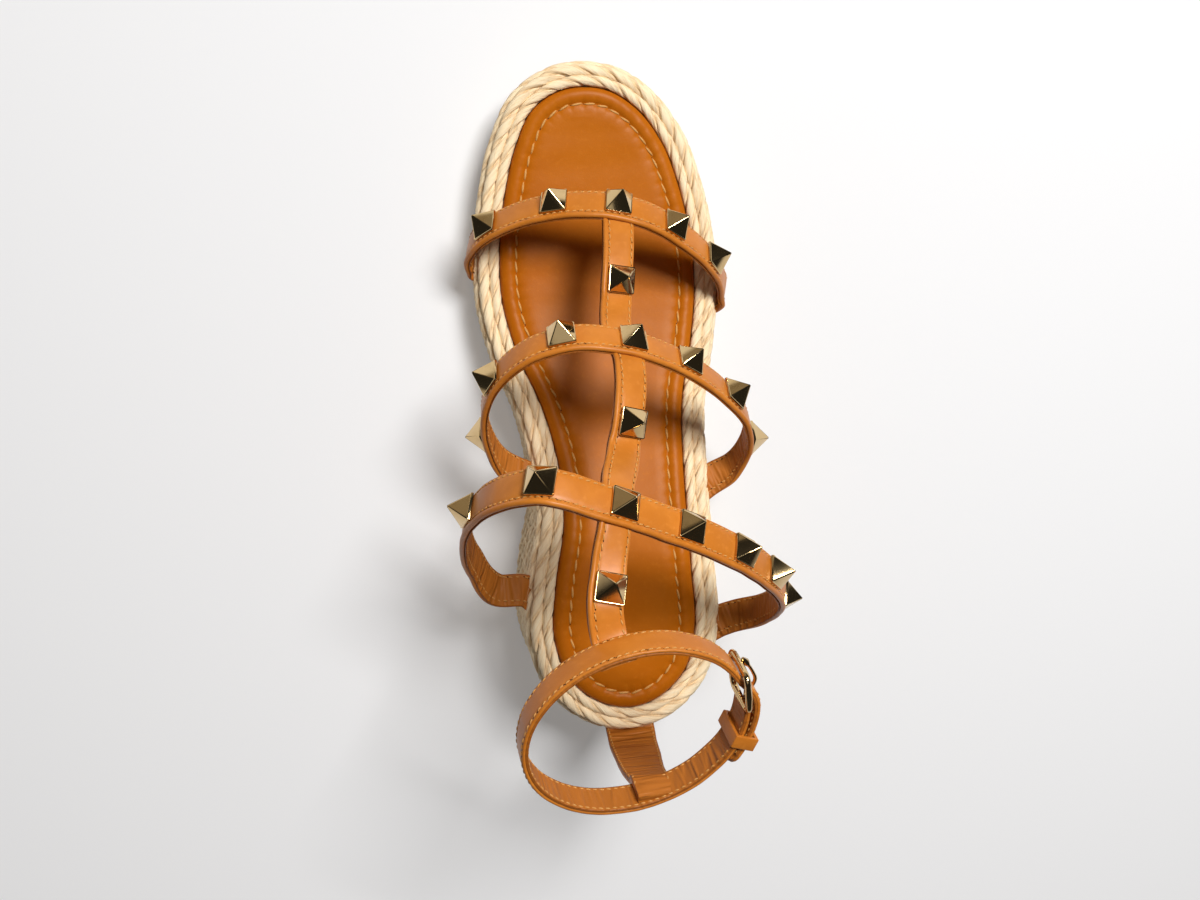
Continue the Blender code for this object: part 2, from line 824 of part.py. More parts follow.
def wire(name, path, radii, sides, closed):
    """A round wire along rows of (centre, outward, normal), closed on itself or capped."""
    body = bmesh.new()
    turns = [2 * math.pi * i / sides for i in range(sides)]
    rings = []
    for (centre, outward, normal), radius in zip(path, radii):
        rings.append([centre + (outward * math.cos(t) + normal * math.sin(t)) * radius for t in turns])
    made = add_rings(body, rings, closed)
    if not closed:
        body.faces.new(made[0])
        body.faces.new(made[-1])
    return add_object(name, body, PALE_GOLD)


def make_buckle_frame():
    """A rounded rectangle of wire."""
    seat, length = buckle_seat()
    half = BUCKLE_WIDTH / 2
    corners = [(length, half), (0.0, half), (0.0, -half), (length, -half)]
    path = []
    for quarter, (onward, across) in enumerate(corners):
        hub_onward = onward + (BUCKLE_CORNER if onward == 0.0 else -BUCKLE_CORNER)
        hub_across = across - math.copysign(BUCKLE_CORNER, across)
        hub = place(seat, hub_across, 0.0, hub_onward)
        for step in range(BUCKLE_CORNER_STEPS + 1):
            turn = math.radians(90.0 * (quarter + step / BUCKLE_CORNER_STEPS))
            outward = seat.along * math.cos(turn) + seat.width * math.sin(turn)
            path.append((hub + outward * BUCKLE_CORNER, outward, seat.out))
    return wire("buckle_frame", path, [BUCKLE_WIRE] * len(path), 8, True)


def make_buckle_prong():
    """A tapered tongue from over the back bar, up through the strap and onto the front bar."""
    across = ANKLE_TILT @ Vector((0.0, 0.0, 1.0))
    points = [ankle_point(row.angle, row.lift) for row in PRONG_ROWS]
    curve = SmoothPath([tuple(point) for point in points])
    path, radii = [], []
    for share in np.linspace(0.0, 1.0, PRONG_STATIONS):
        row, rate = curve.at(share * curve.length)
        along = Vector(rate).normalized()
        path.append((Vector(row), across, along.cross(across)))
        radii.append(PRONG_WIRE * (1.0 - PRONG_TAPER * share))
    return wire("buckle_prong", path, radii, 8, False)


def make_prong_slot():
    """The punched slot that the prong comes up through."""
    station = ankle_station(360.0 + PRONG_SLOT_ANGLE)
    half_length, half_width = PRONG_SLOT_LENGTH / 2, PRONG_WIRE + GAP
    corners = [(1, 1), (1, -1), (-1, -1), (-1, 1)]
    rings = []
    for out in PRONG_SLOT_REACH:
        rings.append([place(station, a * half_width, out, b * half_length) for a, b in corners])
    body = bmesh.new()
    made = add_rings(body, rings)
    for ends in made:
        body.faces.new(ends)
    return add_object("prong_slot_cutter", body, TAN_LEATHER)


def make_keeper():
    """A flat leather loop round the strap and its free end."""
    station = ankle_station(KEEPER_ANGLE)
    low, high = -LEATHER - KEEPER_CLEARANCE, TAIL_LIFT + KEEPER_CLEARANCE
    half = ANKLE_HALF_WIDTH + GAP
    half_length = KEEPER_WIDTH / 2
    body = bmesh.new()
    rings = []
    for wall, onward in ((0, -1), (1, -1), (1, 1), (0, 1)):
        grow = wall * KEEPER_WALL
        corners = [
            (half + grow, high + grow),
            (half + grow, low - grow),
            (-half - grow, low - grow),
            (-half - grow, high + grow),
        ]
        rings.append([place(station, a, b, onward * half_length) for a, b in corners])
    add_rings(body, rings, closed=True)
    return add_object("strap_keeper", body, TAN_LEATHER)


def build():
    for old in list(bpy.data.objects):
        bpy.data.objects.remove(old, do_unlink=True)
    make_outsole()
    make_jute_wedge()
    make_top_plait()
    make_footbed()
    make_caged_upper()
    make_strap_studs()
    make_bar_studs()
    make_buckle_frame()
    make_buckle_prong()
    make_keeper()


build()
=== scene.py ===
"""The look of a right-foot wedge espadrille: leather cage, padded footbed and plaited jute.

The toe points to +Y, the outer side to +X and the ground is z = 0. Sizes are in millimetres and
are turned into metres when a mesh is written.
"""

from __future__ import annotations

import logging
import math
import random
from dataclasses import dataclass, field
from enum import Enum
from functools import partial
from typing import Any, Callable, ClassVar, Iterable, NamedTuple, Optional, Sequence

import bmesh
import bpy
import numpy as np
from mathutils import Matrix, Vector


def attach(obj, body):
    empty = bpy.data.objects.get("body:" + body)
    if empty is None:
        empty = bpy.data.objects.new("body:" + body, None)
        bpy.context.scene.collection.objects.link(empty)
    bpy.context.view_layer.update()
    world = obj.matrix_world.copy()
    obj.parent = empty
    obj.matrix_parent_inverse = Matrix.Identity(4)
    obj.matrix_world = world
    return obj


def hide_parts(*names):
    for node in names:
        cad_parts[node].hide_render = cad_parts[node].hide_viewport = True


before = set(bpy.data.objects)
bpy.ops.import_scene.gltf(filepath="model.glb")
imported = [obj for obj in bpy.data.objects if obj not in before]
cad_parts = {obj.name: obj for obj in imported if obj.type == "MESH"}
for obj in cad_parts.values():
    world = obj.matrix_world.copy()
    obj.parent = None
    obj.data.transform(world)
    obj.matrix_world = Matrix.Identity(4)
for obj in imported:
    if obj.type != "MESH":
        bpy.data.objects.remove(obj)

LOG = logging.getLogger("espadrille")
MM = 0.001
GAP = 0.3
LEATHER = 2.2
TURN = 2 * math.pi
# how near a strand's side, as the cosine round it, the painted shade begins
PAINTED_SHADE_STARTS = 0.84
WELD = 1e-7
ALL_SMOOTH = 180.0
BODY = "root"

Array = np.ndarray
Colour = tuple[float, float, float]


# ---------------------------------------------------------------------------
# Curves and frames
# ---------------------------------------------------------------------------


def smoothstep(value: Any) -> Any:
    """Ease a number or an array from 0 to 1."""
    held = np.clip(value, 0.0, 1.0)
    return held * held * (3.0 - 2.0 * held)


def unit(vectors: Array) -> Array:
    """Scale each row to length one."""
    return vectors / np.linalg.norm(vectors, axis=-1, keepdims=True)


class SmoothPath:
    """A smooth curve through rows of numbers, of which the first two or three are a position."""

    TRIALS: ClassVar[int] = 1200

    def __init__(self, rows: Sequence[Sequence[float]]) -> None:
        """Work out the curve's slopes.

        Args:
            rows: the rows of numbers that the curve passes through.
        """
        self.points = np.array(rows, float)
        self.spans = np.linalg.norm(np.diff(self.points[:, :3], axis=0), axis=1)
        self.knots = np.concatenate([[0.0], np.cumsum(self.spans)])
        steps = np.diff(self.points, axis=0) / self.spans[:, None]
        before, after = self.spans[:-1, None], self.spans[1:, None]
        middle = (steps[:-1] * after + steps[1:] * before) / (before + after)
        self.slopes = np.vstack([steps[:1], middle, steps[-1:]])

    @property
    def length(self) -> float:
        """The curve's length, taken along its rows."""
        return float(self.knots[-1])

    def at(self, distances: Any) -> tuple[Array, Array]:
        """Read the curve.

        Args:
            distances: one distance or several along the curve.

        Returns:
            The rows and their rates of change.
        """
        distances = np.atleast_1d(np.asarray(distances, float))
        index = np.clip(np.searchsorted(self.knots, distances, side="right") - 1, 0, len(self.spans) - 1)
        span = self.spans[index][:, None]
        t = (distances - self.knots[index])[:, None] / span
        start, end = self.points[index], self.points[index + 1]
        leave, arrive = self.slopes[index] * span, self.slopes[index + 1] * span
        value = (
            (2 * t**3 - 3 * t**2 + 1) * start
            + (t**3 - 2 * t**2 + t) * leave
            + (3 * t**2 - 2 * t**3) * end
            + (t**3 - t**2) * arrive
        )
        rate = (
            (6 * t**2 - 6 * t) * (start - end)
            + (3 * t**2 - 4 * t + 1) * leave
            + (3 * t**2 - 2 * t) * arrive
        ) / span
        return value, rate

    def trials(self) -> Array:
        """Close distances along the whole curve."""
        return np.linspace(0.0, self.length, self.TRIALS)

    def reaching(self, column: int, value: float) -> float:
        """The distance at which a column comes nearest to a value."""
        tried = self.trials()
        return float(tried[np.argmin(np.abs(self.at(tried)[0][:, column] - value))])

    def nearest(self, point: Sequence[float]) -> float:
        """The distance at which the curve passes nearest to a point."""
        tried = self.trials()
        away = np.linalg.norm(self.at(tried)[0][:, :3] - np.array(point), axis=1)
        return float(tried[np.argmin(away)])


@dataclass
class Stations:
    """Places along a band, each with the way it runs, its width's way and its face's normal."""

    point: Array
    along: Array
    width: Array
    out: Array

    def place(self, across: Array, out: Array) -> Array:
        """Put each station's profile in space.

        Args:
            across: how far across the band, one row for each station.
            out: how far out from its face, one row for each station.

        Returns:
            An array of stations by profile points by three.
        """
        return (
            self.point[:, None, :]
            + self.width[:, None, :] * across[..., None]
            + self.out[:, None, :] * out[..., None]
        )


def stations_on(path: SmoothPath, distances: Array) -> Stations:
    """The frames of a band whose rows hold a place and the way of its width.

    Args:
        path: rows of place and width.
        distances: where along it to read.

    Returns:
        The stations.
    """
    rows, rates = path.at(distances)
    along = unit(rates[:, :3])
    width = rows[:, 3:6]
    width = unit(width - along * np.sum(width * along, axis=1, keepdims=True))
    return Stations(rows[:, :3], along, width, np.cross(width, along))


# ---------------------------------------------------------------------------
# The sole's own form
# ---------------------------------------------------------------------------


class EdgeRow(NamedTuple):
    """The footbed's two sides at one station."""

    y: float
    medial_x: float
    lateral_x: float


class RimRow(NamedTuple):
    """The footbed's section at its rim: how far in, and how far below the rim's top."""

    inset: float
    drop: float


@dataclass(frozen=True)
class SoleForm:
    """Outline and levels that every piece of the sole shares."""

    outsole_thickness: float = 3.0
    platform_height: float = 26.0
    heel_rise: float = 30.5
    rise_starts_y: float = 10.0
    rise_ends_y: float = -125.0
    toe_spring: float = 5.5
    spring_starts_y: float = 30.0
    spring_ends_y: float = 94.0
    plait_thickness: float = 9.2
    row_pitch: float = 6.65
    row_count: int = 7
    row_bulge: float = 1.1
    shelf_reach: float = 9.0
    wall_flare: float = math.tan(math.radians(3.0))
    toe_tip: tuple[float, float] = (-3.2, 84.0)
    heel_tip: tuple[float, float] = (0.6, -165.5)
    edge: tuple[EdgeRow, ...] = (
        EdgeRow(82.4, -13.2, 7.0),
        EdgeRow(76.0, -23.4, 17.6),
        EdgeRow(62.0, -31.0, 28.6),
        EdgeRow(44.0, -36.2, 35.3),
        EdgeRow(20.0, -39.9, 39.8),
        EdgeRow(0.0, -39.9, 40.1),
        EdgeRow(-20.0, -35.6, 36.9),
        EdgeRow(-44.0, -26.7, 31.0),
        EdgeRow(-66.0, -22.2, 29.0),
        EdgeRow(-88.0, -21.9, 28.3),
        EdgeRow(-112.0, -26.8, 28.3),
        EdgeRow(-134.0, -28.8, 28.6),
        EdgeRow(-152.0, -23.0, 23.6),
        EdgeRow(-162.5, -11.0, 12.2),
    )

    def side(self, outer: bool) -> SmoothPath:
        """One side of the footbed's edge, from the toe's tip to the heel's."""
        sign = 1.0 if outer else -1.0
        rows = [(row.lateral_x if outer else row.medial_x, row.y) for row in self.edge]
        path = SmoothPath([self.toe_tip, *rows, self.heel_tip])
        path.slopes[0] = (sign, 0.0)
        path.slopes[-1] = (-sign, 0.0)
        return path

    def outline(self, steps: int) -> Array:
        """The footbed's edge, clockwise from the toe's tip; point i faces point steps - i."""
        half = steps // 2
        lateral, medial = self.side(True), self.side(False)
        shares = np.arange(half + 1) / half
        there = lateral.at(lateral.length * shares)[0]
        back = medial.at(medial.length * shares[1:-1])[0]
        return np.vstack([there, back[::-1]])

    def ground_lift(self, y: Array) -> Array:
        """How far the underside stands off the ground, which is only at the toe."""
        reach = np.maximum(y - self.spring_starts_y, 0.0) / (self.spring_ends_y - self.spring_starts_y)
        return self.toe_spring * reach**2

    def footbed_height(self, y: Array) -> Array:
        """The height of the footbed's rim above the ground."""
        rise = smoothstep((self.rise_starts_y - y) / (self.rise_starts_y - self.rise_ends_y))
        return self.platform_height + self.ground_lift(y) + self.heel_rise * rise

    def shelf_height(self, y: Array) -> Array:
        """The top of the jute wall, under the footbed and the top plait."""
        return self.footbed_height(y) - self.plait_thickness - GAP

    def wall_offset(self, y: Array, height: Array) -> Array:
        """How far the jute wall stands out from the footbed's edge at a height."""
        return self.shelf_reach + self.wall_flare * (self.shelf_height(y) - height)


SOLE = SoleForm()


@dataclass
class Outline:
    """A closed outline in plan with its outward normals and arc length."""

    steps: int
    points: Array = field(init=False)
    outward: Array = field(init=False)

    def __post_init__(self) -> None:
        """Read the outline and its normals."""
        self.points = SOLE.outline(self.steps)
        along = np.roll(self.points, -1, axis=0) - np.roll(self.points, 1, axis=0)
        self.outward = unit(np.column_stack([-along[:, 1], along[:, 0]]))

    def moved(self, offset: Array) -> Array:
        """The outline's points moved out by an offset."""
        return self.points + self.outward * np.broadcast_to(offset, (self.steps,))[:, None]

    def ring(self, offset: Any, height: Callable[[Array], Array]) -> Array:
        """One ring of points.

        Args:
            offset: how far out, a number, an array or a function of y.
            height: the height as a function of the moved point's y.

        Returns:
            Points in space, one for each step.
        """
        reach = offset(self.points[:, 1]) if callable(offset) else offset
        plan = self.moved(reach)
        return np.column_stack([plan, np.broadcast_to(height(plan[:, 1]), (self.steps,))])


# ---------------------------------------------------------------------------
# Meshes
# ---------------------------------------------------------------------------


def write_object(name: str, body: bmesh.types.BMesh, sharp_above: float = 60.0) -> bpy.types.Object:
    """Write a bmesh in metres as a shown object.

    Args:
        name: the object's name.
        body: the finished bmesh, which is freed.
        sharp_above: edges that turn by more degrees than this stay sharp.

    Returns:
        The object, at the origin.
    """
    mesh = bpy.data.meshes.new(name)
    body.to_mesh(mesh)
    body.free()
    mesh.shade_smooth()
    mesh.set_sharp_from_angle(angle=math.radians(sharp_above))
    made = bpy.data.objects.new(name, mesh)
    bpy.context.scene.collection.objects.link(made)
    return made


def finish_piece(
    piece: bpy.types.Object, material: bpy.types.Material, stands_for: Iterable[str] = ()
) -> bpy.types.Object:
    """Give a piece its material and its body.

    Args:
        piece: the object.
        material: what it is made of.
        stands_for: the plain nodes that it is shown instead of.

    Returns:
        The same object.
    """
    piece.data.materials.clear()
    piece.data.materials.append(material)
    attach(piece, BODY)
    nodes = list(stands_for)
    if nodes:
        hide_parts(*nodes)
    LOG.info("%s: %d faces", piece.name, len(piece.data.polygons))
    return piece


class Ends(Enum):
    """What closes the two ends of a skinned shape."""

    JOINED = "joined"
    FILLED = "filled"
    OPEN = "open"


def skin(
    body: bmesh.types.BMesh, rings: Array, ends: Ends, wraps: bool = True, marks: Optional[Array] = None
) -> None:
    """Bend a grid over rings of points, with a UV map in metres.

    Args:
        body: the bmesh that takes the grid.
        rings: stations by profile points by three, in millimetres.
        ends: what closes the first and the last ring.
        wraps: whether each ring closes on itself.
        marks: a value for each point, kept in the mark layer.
    """
    if wraps:
        rings = np.concatenate([rings, rings[:, :1]], axis=1)
        marks = None if marks is None else np.concatenate([marks, marks[:, :1]], axis=1)
    if ends is Ends.JOINED:
        rings = np.concatenate([rings, rings[:1]], axis=0)
    stations, around = rings.shape[:2]
    uv_layer = body.loops.layers.uv.verify()
    mark_layer = body.verts.layers.float.get("mark") or body.verts.layers.float.new("mark")
    made = bmesh.ops.create_grid(body, x_segments=around - 1, y_segments=stations - 1, size=0.5)["verts"]
    run = np.linalg.norm(np.diff(rings.mean(axis=1), axis=0), axis=1)
    girth = np.linalg.norm(np.diff(rings, axis=1), axis=2).mean(axis=0)
    along = np.concatenate([[0.0], np.cumsum(run)]) * MM
    round_it = np.concatenate([[0.0], np.cumsum(girth)]) * MM
    points = (rings.reshape(-1, 3) * MM).tolist()
    for index, vert in enumerate(made):
        vert.index = index
        vert.co = points[index]
    if marks is not None:
        for vert, value in zip(made, marks.reshape(-1).tolist()):
            vert[mark_layer] = value
    for face in {face for vert in made for face in vert.link_faces}:
        for loop in face.loops:
            row, column = divmod(loop.vert.index, around)
            loop[uv_layer].uv = (along[row], round_it[column])
    border = set()
    if wraps:
        border |= {made[row * around + column] for row in range(stations) for column in (0, around - 1)}
    rims = made[:around] + made[-around:]
    if ends is Ends.JOINED:
        border |= set(rims)
    if border:
        bmesh.ops.remove_doubles(body, verts=list(border), dist=WELD)
    if ends is Ends.FILLED:
        held = {vert for vert in rims if vert.is_valid}
        edges = {edge for vert in held for edge in vert.link_edges if edge.is_boundary}
        bmesh.ops.holes_fill(body, edges=list(edges), sides=0)


def rungs(ring: Array, count: int) -> Array:
    """Rows of points across an outline ring, from its outer side to its inner side.

    Args:
        ring: an even number of points, clockwise from the toe.
        count: how many spaces each row has.

    Returns:
        Rows by points by three.
    """
    half = len(ring) // 2
    outer = ring[: half + 1]
    inner = np.vstack([ring[:1], ring[: half - 1 : -1]])
    shares = np.linspace(0.0, 1.0, count + 1)[None, :, None]
    return outer[:, None, :] * (1.0 - shares) + inner[:, None, :] * shares


def outline_body(
    name: str, rings: Array, across: int, fill: Optional[Callable] = None, marks: Optional[Array] = None
) -> bpy.types.Object:
    """A closed solid from outline rings, with rungs over both ends.

    Args:
        name: the object's name.
        rings: outline rings, bottom to top.
        across: how many faces each rung has.
        fill: shapes the top's rungs, when it isn't flat.
        marks: a value for each point of the rings.

    Returns:
        The object.
    """
    body = bmesh.new()
    skin(body, rings, Ends.OPEN, marks=marks)
    for index, ring in enumerate((rings[0], rings[-1])):
        rows = rungs(ring, across)
        if fill is not None and index == 1:
            rows = fill(rows)
        skin(body, rows, Ends.OPEN, wraps=False)
    bmesh.ops.remove_doubles(body, verts=body.verts, dist=2e-6)
    bmesh.ops.dissolve_degenerate(body, edges=body.edges, dist=WELD)
    bmesh.ops.recalc_face_normals(body, faces=body.faces)
    return write_object(name, body)


def copy_of_node(node: str, name: str) -> tuple[bmesh.types.BMesh, str]:
    """A merged copy of a plain node's mesh.

    Args:
        node: the plain node.
        name: what the new piece is called.

    Returns:
        The bmesh and the name.
    """
    body = bmesh.new()
    body.from_mesh(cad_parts[node].data)
    bmesh.ops.remove_doubles(body, verts=body.verts, dist=1e-6)
    bmesh.ops.dissolve_limit(
        body, angle_limit=math.radians(1.0), verts=body.verts, edges=body.edges, use_dissolve_boundaries=False
    )
    bmesh.ops.recalc_face_normals(body, faces=body.faces)
    return body, name


# ---------------------------------------------------------------------------
# Shader building
# ---------------------------------------------------------------------------


class Graph:
    """A material's node tree, with its Principled shader."""

    def __init__(self, name: str) -> None:
        """Start an empty material.

        Args:
            name: the material's name.
        """
        self.material = bpy.data.materials.new(name)
        self.material.use_nodes = True
        self.tree = self.material.node_tree
        self.tree.nodes.clear()
        output = self.tree.nodes.new("ShaderNodeOutputMaterial")
        self.shader = self.tree.nodes.new("ShaderNodeBsdfPrincipled")
        self.tree.links.new(self.shader.outputs["BSDF"], output.inputs["Surface"])

    def feed(self, socket: bpy.types.NodeSocket, value: Any) -> None:
        """Set or link one socket."""
        if isinstance(value, Signal):
            self.tree.links.new(value.socket, socket)
        elif isinstance(value, (tuple, list)) and socket.type == "RGBA":
            socket.default_value = (*value[:3], 1.0)
        else:
            socket.default_value = value

    def node(self, kind: str, settings: dict[str, Any], inputs: dict[Any, Any]) -> bpy.types.Node:
        """Add a node.

        Args:
            kind: the node's type, without its ShaderNode prefix.
            settings: its own settings; stops is a ramp's list of place and colour.
            inputs: values or signals for its sockets, by name or number.

        Returns:
            The node.
        """
        made = self.tree.nodes.new("ShaderNode" + kind)
        for name, value in settings.items():
            if name == "stops":
                ramp = made.color_ramp
                while len(ramp.elements) < len(value):
                    ramp.elements.new(1.0)
                for element, (place, colour) in zip(ramp.elements, value):
                    element.position = place
                    element.color = (*colour, 1.0)
            else:
                setattr(made, name, value)
        for name, value in inputs.items():
            self.feed(made.inputs[name], value)
        return made

    def maths(self, operation: str, *values: Any) -> Signal:
        """One Math node."""
        inputs = dict(enumerate(values))
        return Signal(self, self.node("Math", {"operation": operation}, inputs).outputs[0])

    def principled(self, **values: Any) -> None:
        """Set the shader's sockets, underscores standing for spaces."""
        for name, value in values.items():
            self.feed(self.shader.inputs[name.replace("_", " ")], value)

    def coordinates(self, source: str, scale: Sequence[float] = (1, 1, 1)) -> Signal:
        """Object or UV coordinates, scaled."""
        read = self.node("TexCoord", {}, {}).outputs[source]
        mapped = self.node("Mapping", {}, {"Vector": Signal(self, read), "Scale": tuple(scale)})
        return Signal(self, mapped.outputs["Vector"])

    def mark(self) -> Signal:
        """The mark layer's value."""
        return Signal(self, self.node("Attribute", {"attribute_name": "mark"}, {}).outputs["Fac"])

    def noise(self, where: Signal, scale: float, detail: float = 3.0, distortion: float = 0.0) -> Signal:
        """A noise between 0 and 1."""
        made = self.node(
            "TexNoise",
            {"noise_dimensions": "3D"},
            {"Vector": where, "Scale": scale, "Detail": detail, "Roughness": 0.55, "Distortion": distortion},
        )
        return Signal(self, made.outputs["Fac"])

    def cells(self, where: Signal, scale: float, feature: str = "F1", smooth: float = 0.6) -> Signal:
        """A cell pattern's distance."""
        inputs = {"Vector": where, "Scale": scale}
        if feature == "SMOOTH_F1":
            inputs["Smoothness"] = smooth
        made = self.node("TexVoronoi", {"feature": feature}, inputs)
        return Signal(self, made.outputs["Distance"])

    def mix(self, share: Any, first: Any, second: Any) -> Signal:
        """Blend two colours."""
        made = self.node("Mix", {"data_type": "RGBA"}, {})
        self.feed(made.inputs[0], share)
        self.feed(made.inputs[6], first)
        self.feed(made.inputs[7], second)
        return Signal(self, made.outputs[2])

    def ramp(self, value: Signal, low: float, high: float) -> Signal:
        """Stretch a value so that low becomes 0 and high becomes 1, held there."""
        made = self.node(
            "MapRange",
            {"interpolation_type": "SMOOTHSTEP"},
            {"Value": value, "From Min": low, "From Max": high},
        )
        return Signal(self, made.outputs["Result"])

    def bump(self, *layers: tuple[Signal, float]) -> Signal:
        """Stack bumps, each a height between 0 and 1 and its depth in metres."""
        normal = None
        for height, depth in layers:
            inputs = {"Height": height, "Distance": depth, "Strength": 1.0}
            if normal is not None:
                inputs["Normal"] = normal
            normal = Signal(self, self.node("Bump", {}, inputs).outputs["Normal"])
        return normal


class Signal:
    """A node's output socket, usable in sums."""

    def __init__(self, graph: Graph, socket: bpy.types.NodeSocket) -> None:
        """Wrap a socket of a graph."""
        self.graph = graph
        self.socket = socket

    def __add__(self, other: Any) -> Signal:
        """Sum."""
        return self.graph.maths("ADD", self, other)

    def __sub__(self, other: Any) -> Signal:
        """Difference."""
        return self.graph.maths("SUBTRACT", self, other)

    def __mul__(self, other: Any) -> Signal:
        """Product."""
        return self.graph.maths("MULTIPLY", self, other)

    def __rsub__(self, other: Any) -> Signal:
        """A number less this."""
        return self.graph.maths("SUBTRACT", other, self)

    def __pow__(self, other: Any) -> Signal:
        """Power."""
        return self.graph.maths("POWER", self, other)

    __radd__ = __add__
    __rmul__ = __mul__


# ---------------------------------------------------------------------------
# Finishes
# ---------------------------------------------------------------------------


@dataclass(frozen=True)
class BandLeather:
    """Smooth tanned leather outside, a darker pleated lining inside, told apart by the mark layer, which also
    gives the dyed cut edges and the painted shade in the gap under a rolled edge.
    """

    name: str = "band_leather"
    face: Colour = (0.575, 0.190, 0.022)
    deep: Colour = (0.500, 0.155, 0.015)
    pale: Colour = (0.640, 0.230, 0.034)
    lining: Colour = (0.40, 0.125, 0.014)
    # edge: the dyed colour of cut edges, also used as painted shade in the gap under a rolled edge
    edge: Colour = (0.28, 0.080, 0.009)
    roughness: float = 0.31
    specular: float = 0.26
    cloud_scale: float = 55.0
    mottle_scale: float = 420.0
    mottle_share: float = 0.45
    wave_scale: float = 95.0
    wave_depth: float = 0.00016
    grain_scale: float = 1100.0
    grain_depth: float = 0.00003
    pore_scale: float = 2600.0
    pore_depth: float = 0.000012
    pleat_scale: tuple[float, float, float] = (330.0, 50.0, 1.0)
    pleat_depth: float = 0.0006

    def build(self) -> bpy.types.Material:
        """Make the material.

        Returns:
            A material that reads the band's UV map and its mark layer.
        """
        g = Graph(self.name)
        place = g.coordinates("Object")
        lining_edge_shade_mark = g.mark()
        cloudy = g.noise(place, self.cloud_scale, 3.0)
        mottled = g.noise(place, self.mottle_scale, 4.0)
        pores = g.cells(place, self.pore_scale)
        colour = g.mix(g.ramp(cloudy, 0.38, 0.68), self.deep, self.face)
        colour = g.mix(g.ramp(mottled, 0.5, 0.78) * self.mottle_share, colour, self.pale)
        pleats = g.noise(g.coordinates("UV", self.pleat_scale), 1.0, 1.0, 0.5)
        inner = g.mix(g.ramp(pleats, 0.3, 0.7) * 0.35, self.lining, self.deep)
        # marks of 0.25 to 0.5 take the edge colour: dyed cut edges, and painted shade in the gap under the
        # roll
        colour = g.mix(g.ramp(lining_edge_shade_mark, 0.25, 0.5), colour, self.edge)
        colour = g.mix(g.ramp(lining_edge_shade_mark, 0.55, 0.95), colour, inner)
        g.principled(
            Base_Color=colour,
            Roughness=self.roughness + 0.14 * mottled + 0.16 * lining_edge_shade_mark,
            Specular_IOR_Level=self.specular,
            Normal=g.bump(
                (g.noise(place, self.wave_scale, 2.0), self.wave_depth),
                (g.noise(place, self.grain_scale, 2.0, 1.6), self.grain_depth),
                (g.ramp(pores, 0.0, 0.45), self.pore_depth),
                (g.ramp(pleats, 0.25, 0.75) * lining_edge_shade_mark, self.pleat_depth),
            ),
        )
        return g.material


@dataclass(frozen=True)
class FootbedLeather:
    """The insole's leather: warm, finely grained and a little polished."""

    name: str = "insole_leather"
    base: Colour = (0.455, 0.122, 0.0045)
    deep: Colour = (0.400, 0.101, 0.0030)
    pale: Colour = (0.530, 0.156, 0.0090)
    shine: Colour = (1.0, 0.84, 0.66)
    roughness: float = 0.30
    specular: float = 0.11
    cloud_scale: float = 26.0
    mottle_scale: float = 500.0
    mottle_share: float = 0.4
    wave_scale: float = 60.0
    wave_depth: float = 0.0002
    grain_scale: float = 850.0
    grain_depth: float = 0.00003
    pore_scale: float = 1500.0
    pore_depth: float = 0.000008

    def build(self) -> bpy.types.Material:
        """Make the material.

        Returns:
            A material in the shoe's own coordinates.
        """
        g = Graph(self.name)
        place = g.coordinates("Object")
        cloudy = g.noise(place, self.cloud_scale, 4.0)
        mottled = g.noise(place, self.mottle_scale, 4.0)
        pores = g.cells(place, self.pore_scale, "SMOOTH_F1")
        colour = g.mix(g.ramp(cloudy, 0.35, 0.7), self.deep, self.base)
        colour = g.mix(g.ramp(mottled, 0.5, 0.8) * self.mottle_share, colour, self.pale)
        g.principled(
            Base_Color=colour,
            Roughness=self.roughness + 0.10 * mottled,
            Specular_IOR_Level=self.specular,
            Specular_Tint=self.shine,
            Normal=g.bump(
                (g.noise(place, self.wave_scale, 2.0), self.wave_depth),
                (g.noise(place, self.grain_scale, 2.0, 1.8), self.grain_depth),
                (g.ramp(pores, 0.0, 0.6), self.pore_depth),
            ),
        )
        return g.material


@dataclass(frozen=True)
class JuteFibre:
    """Combed pale fibre, streaked along each strand, with painted shade on each strand's sides where it meets
    its neighbours.
    """

    name: str = "jute_fibre"
    base: Colour = (0.94, 0.70, 0.41)
    pale: Colour = (0.98, 0.83, 0.58)
    shade: Colour = (0.84, 0.57, 0.29)
    # painted shade: the colour laid on each strand's sides where it lies against its neighbours
    painted_cleft_shade: Colour = (0.62, 0.36, 0.14)
    painted_cleft_shade_share: float = 0.4
    roughness: float = 0.5
    specular: float = 0.3
    hair_scale: tuple[float, float, float] = (70.0, 7500.0, 1.0)
    hair_depth: float = 0.00012
    lock_scale: tuple[float, float, float] = (45.0, 1900.0, 1.0)
    lock_depth: float = 0.00035
    lock_share: float = 0.45
    patch_scale: float = 110.0
    patch_share: float = 0.35

    def build(self) -> bpy.types.Material:
        """Make the material.

        Returns:
            A material that streaks along the strand's UV map.
        """
        g = Graph(self.name)
        hairs = g.noise(g.coordinates("UV", self.hair_scale), 1.0, 3.0)
        locks = g.noise(g.coordinates("UV", self.lock_scale), 1.0, 3.0)
        patch = g.noise(g.coordinates("Object"), self.patch_scale, 2.0)
        colour = g.mix(g.ramp(hairs, 0.36, 0.64), self.base, self.pale)
        colour = g.mix(g.ramp(locks, 0.54, 0.76) * self.lock_share, colour, self.shade)
        colour = g.mix(g.ramp(patch, 0.5, 0.8) * self.patch_share, colour, self.base)
        # painted shade on each strand's sides, read from the mark layer
        colour = g.mix(g.mark() * self.painted_cleft_shade_share, colour, self.painted_cleft_shade)
        g.principled(
            Base_Color=colour,
            Roughness=self.roughness + 0.2 * hairs,
            Specular_IOR_Level=self.specular,
            Normal=g.bump((locks, self.lock_depth), (hairs, self.hair_depth)),
        )
        return g.material


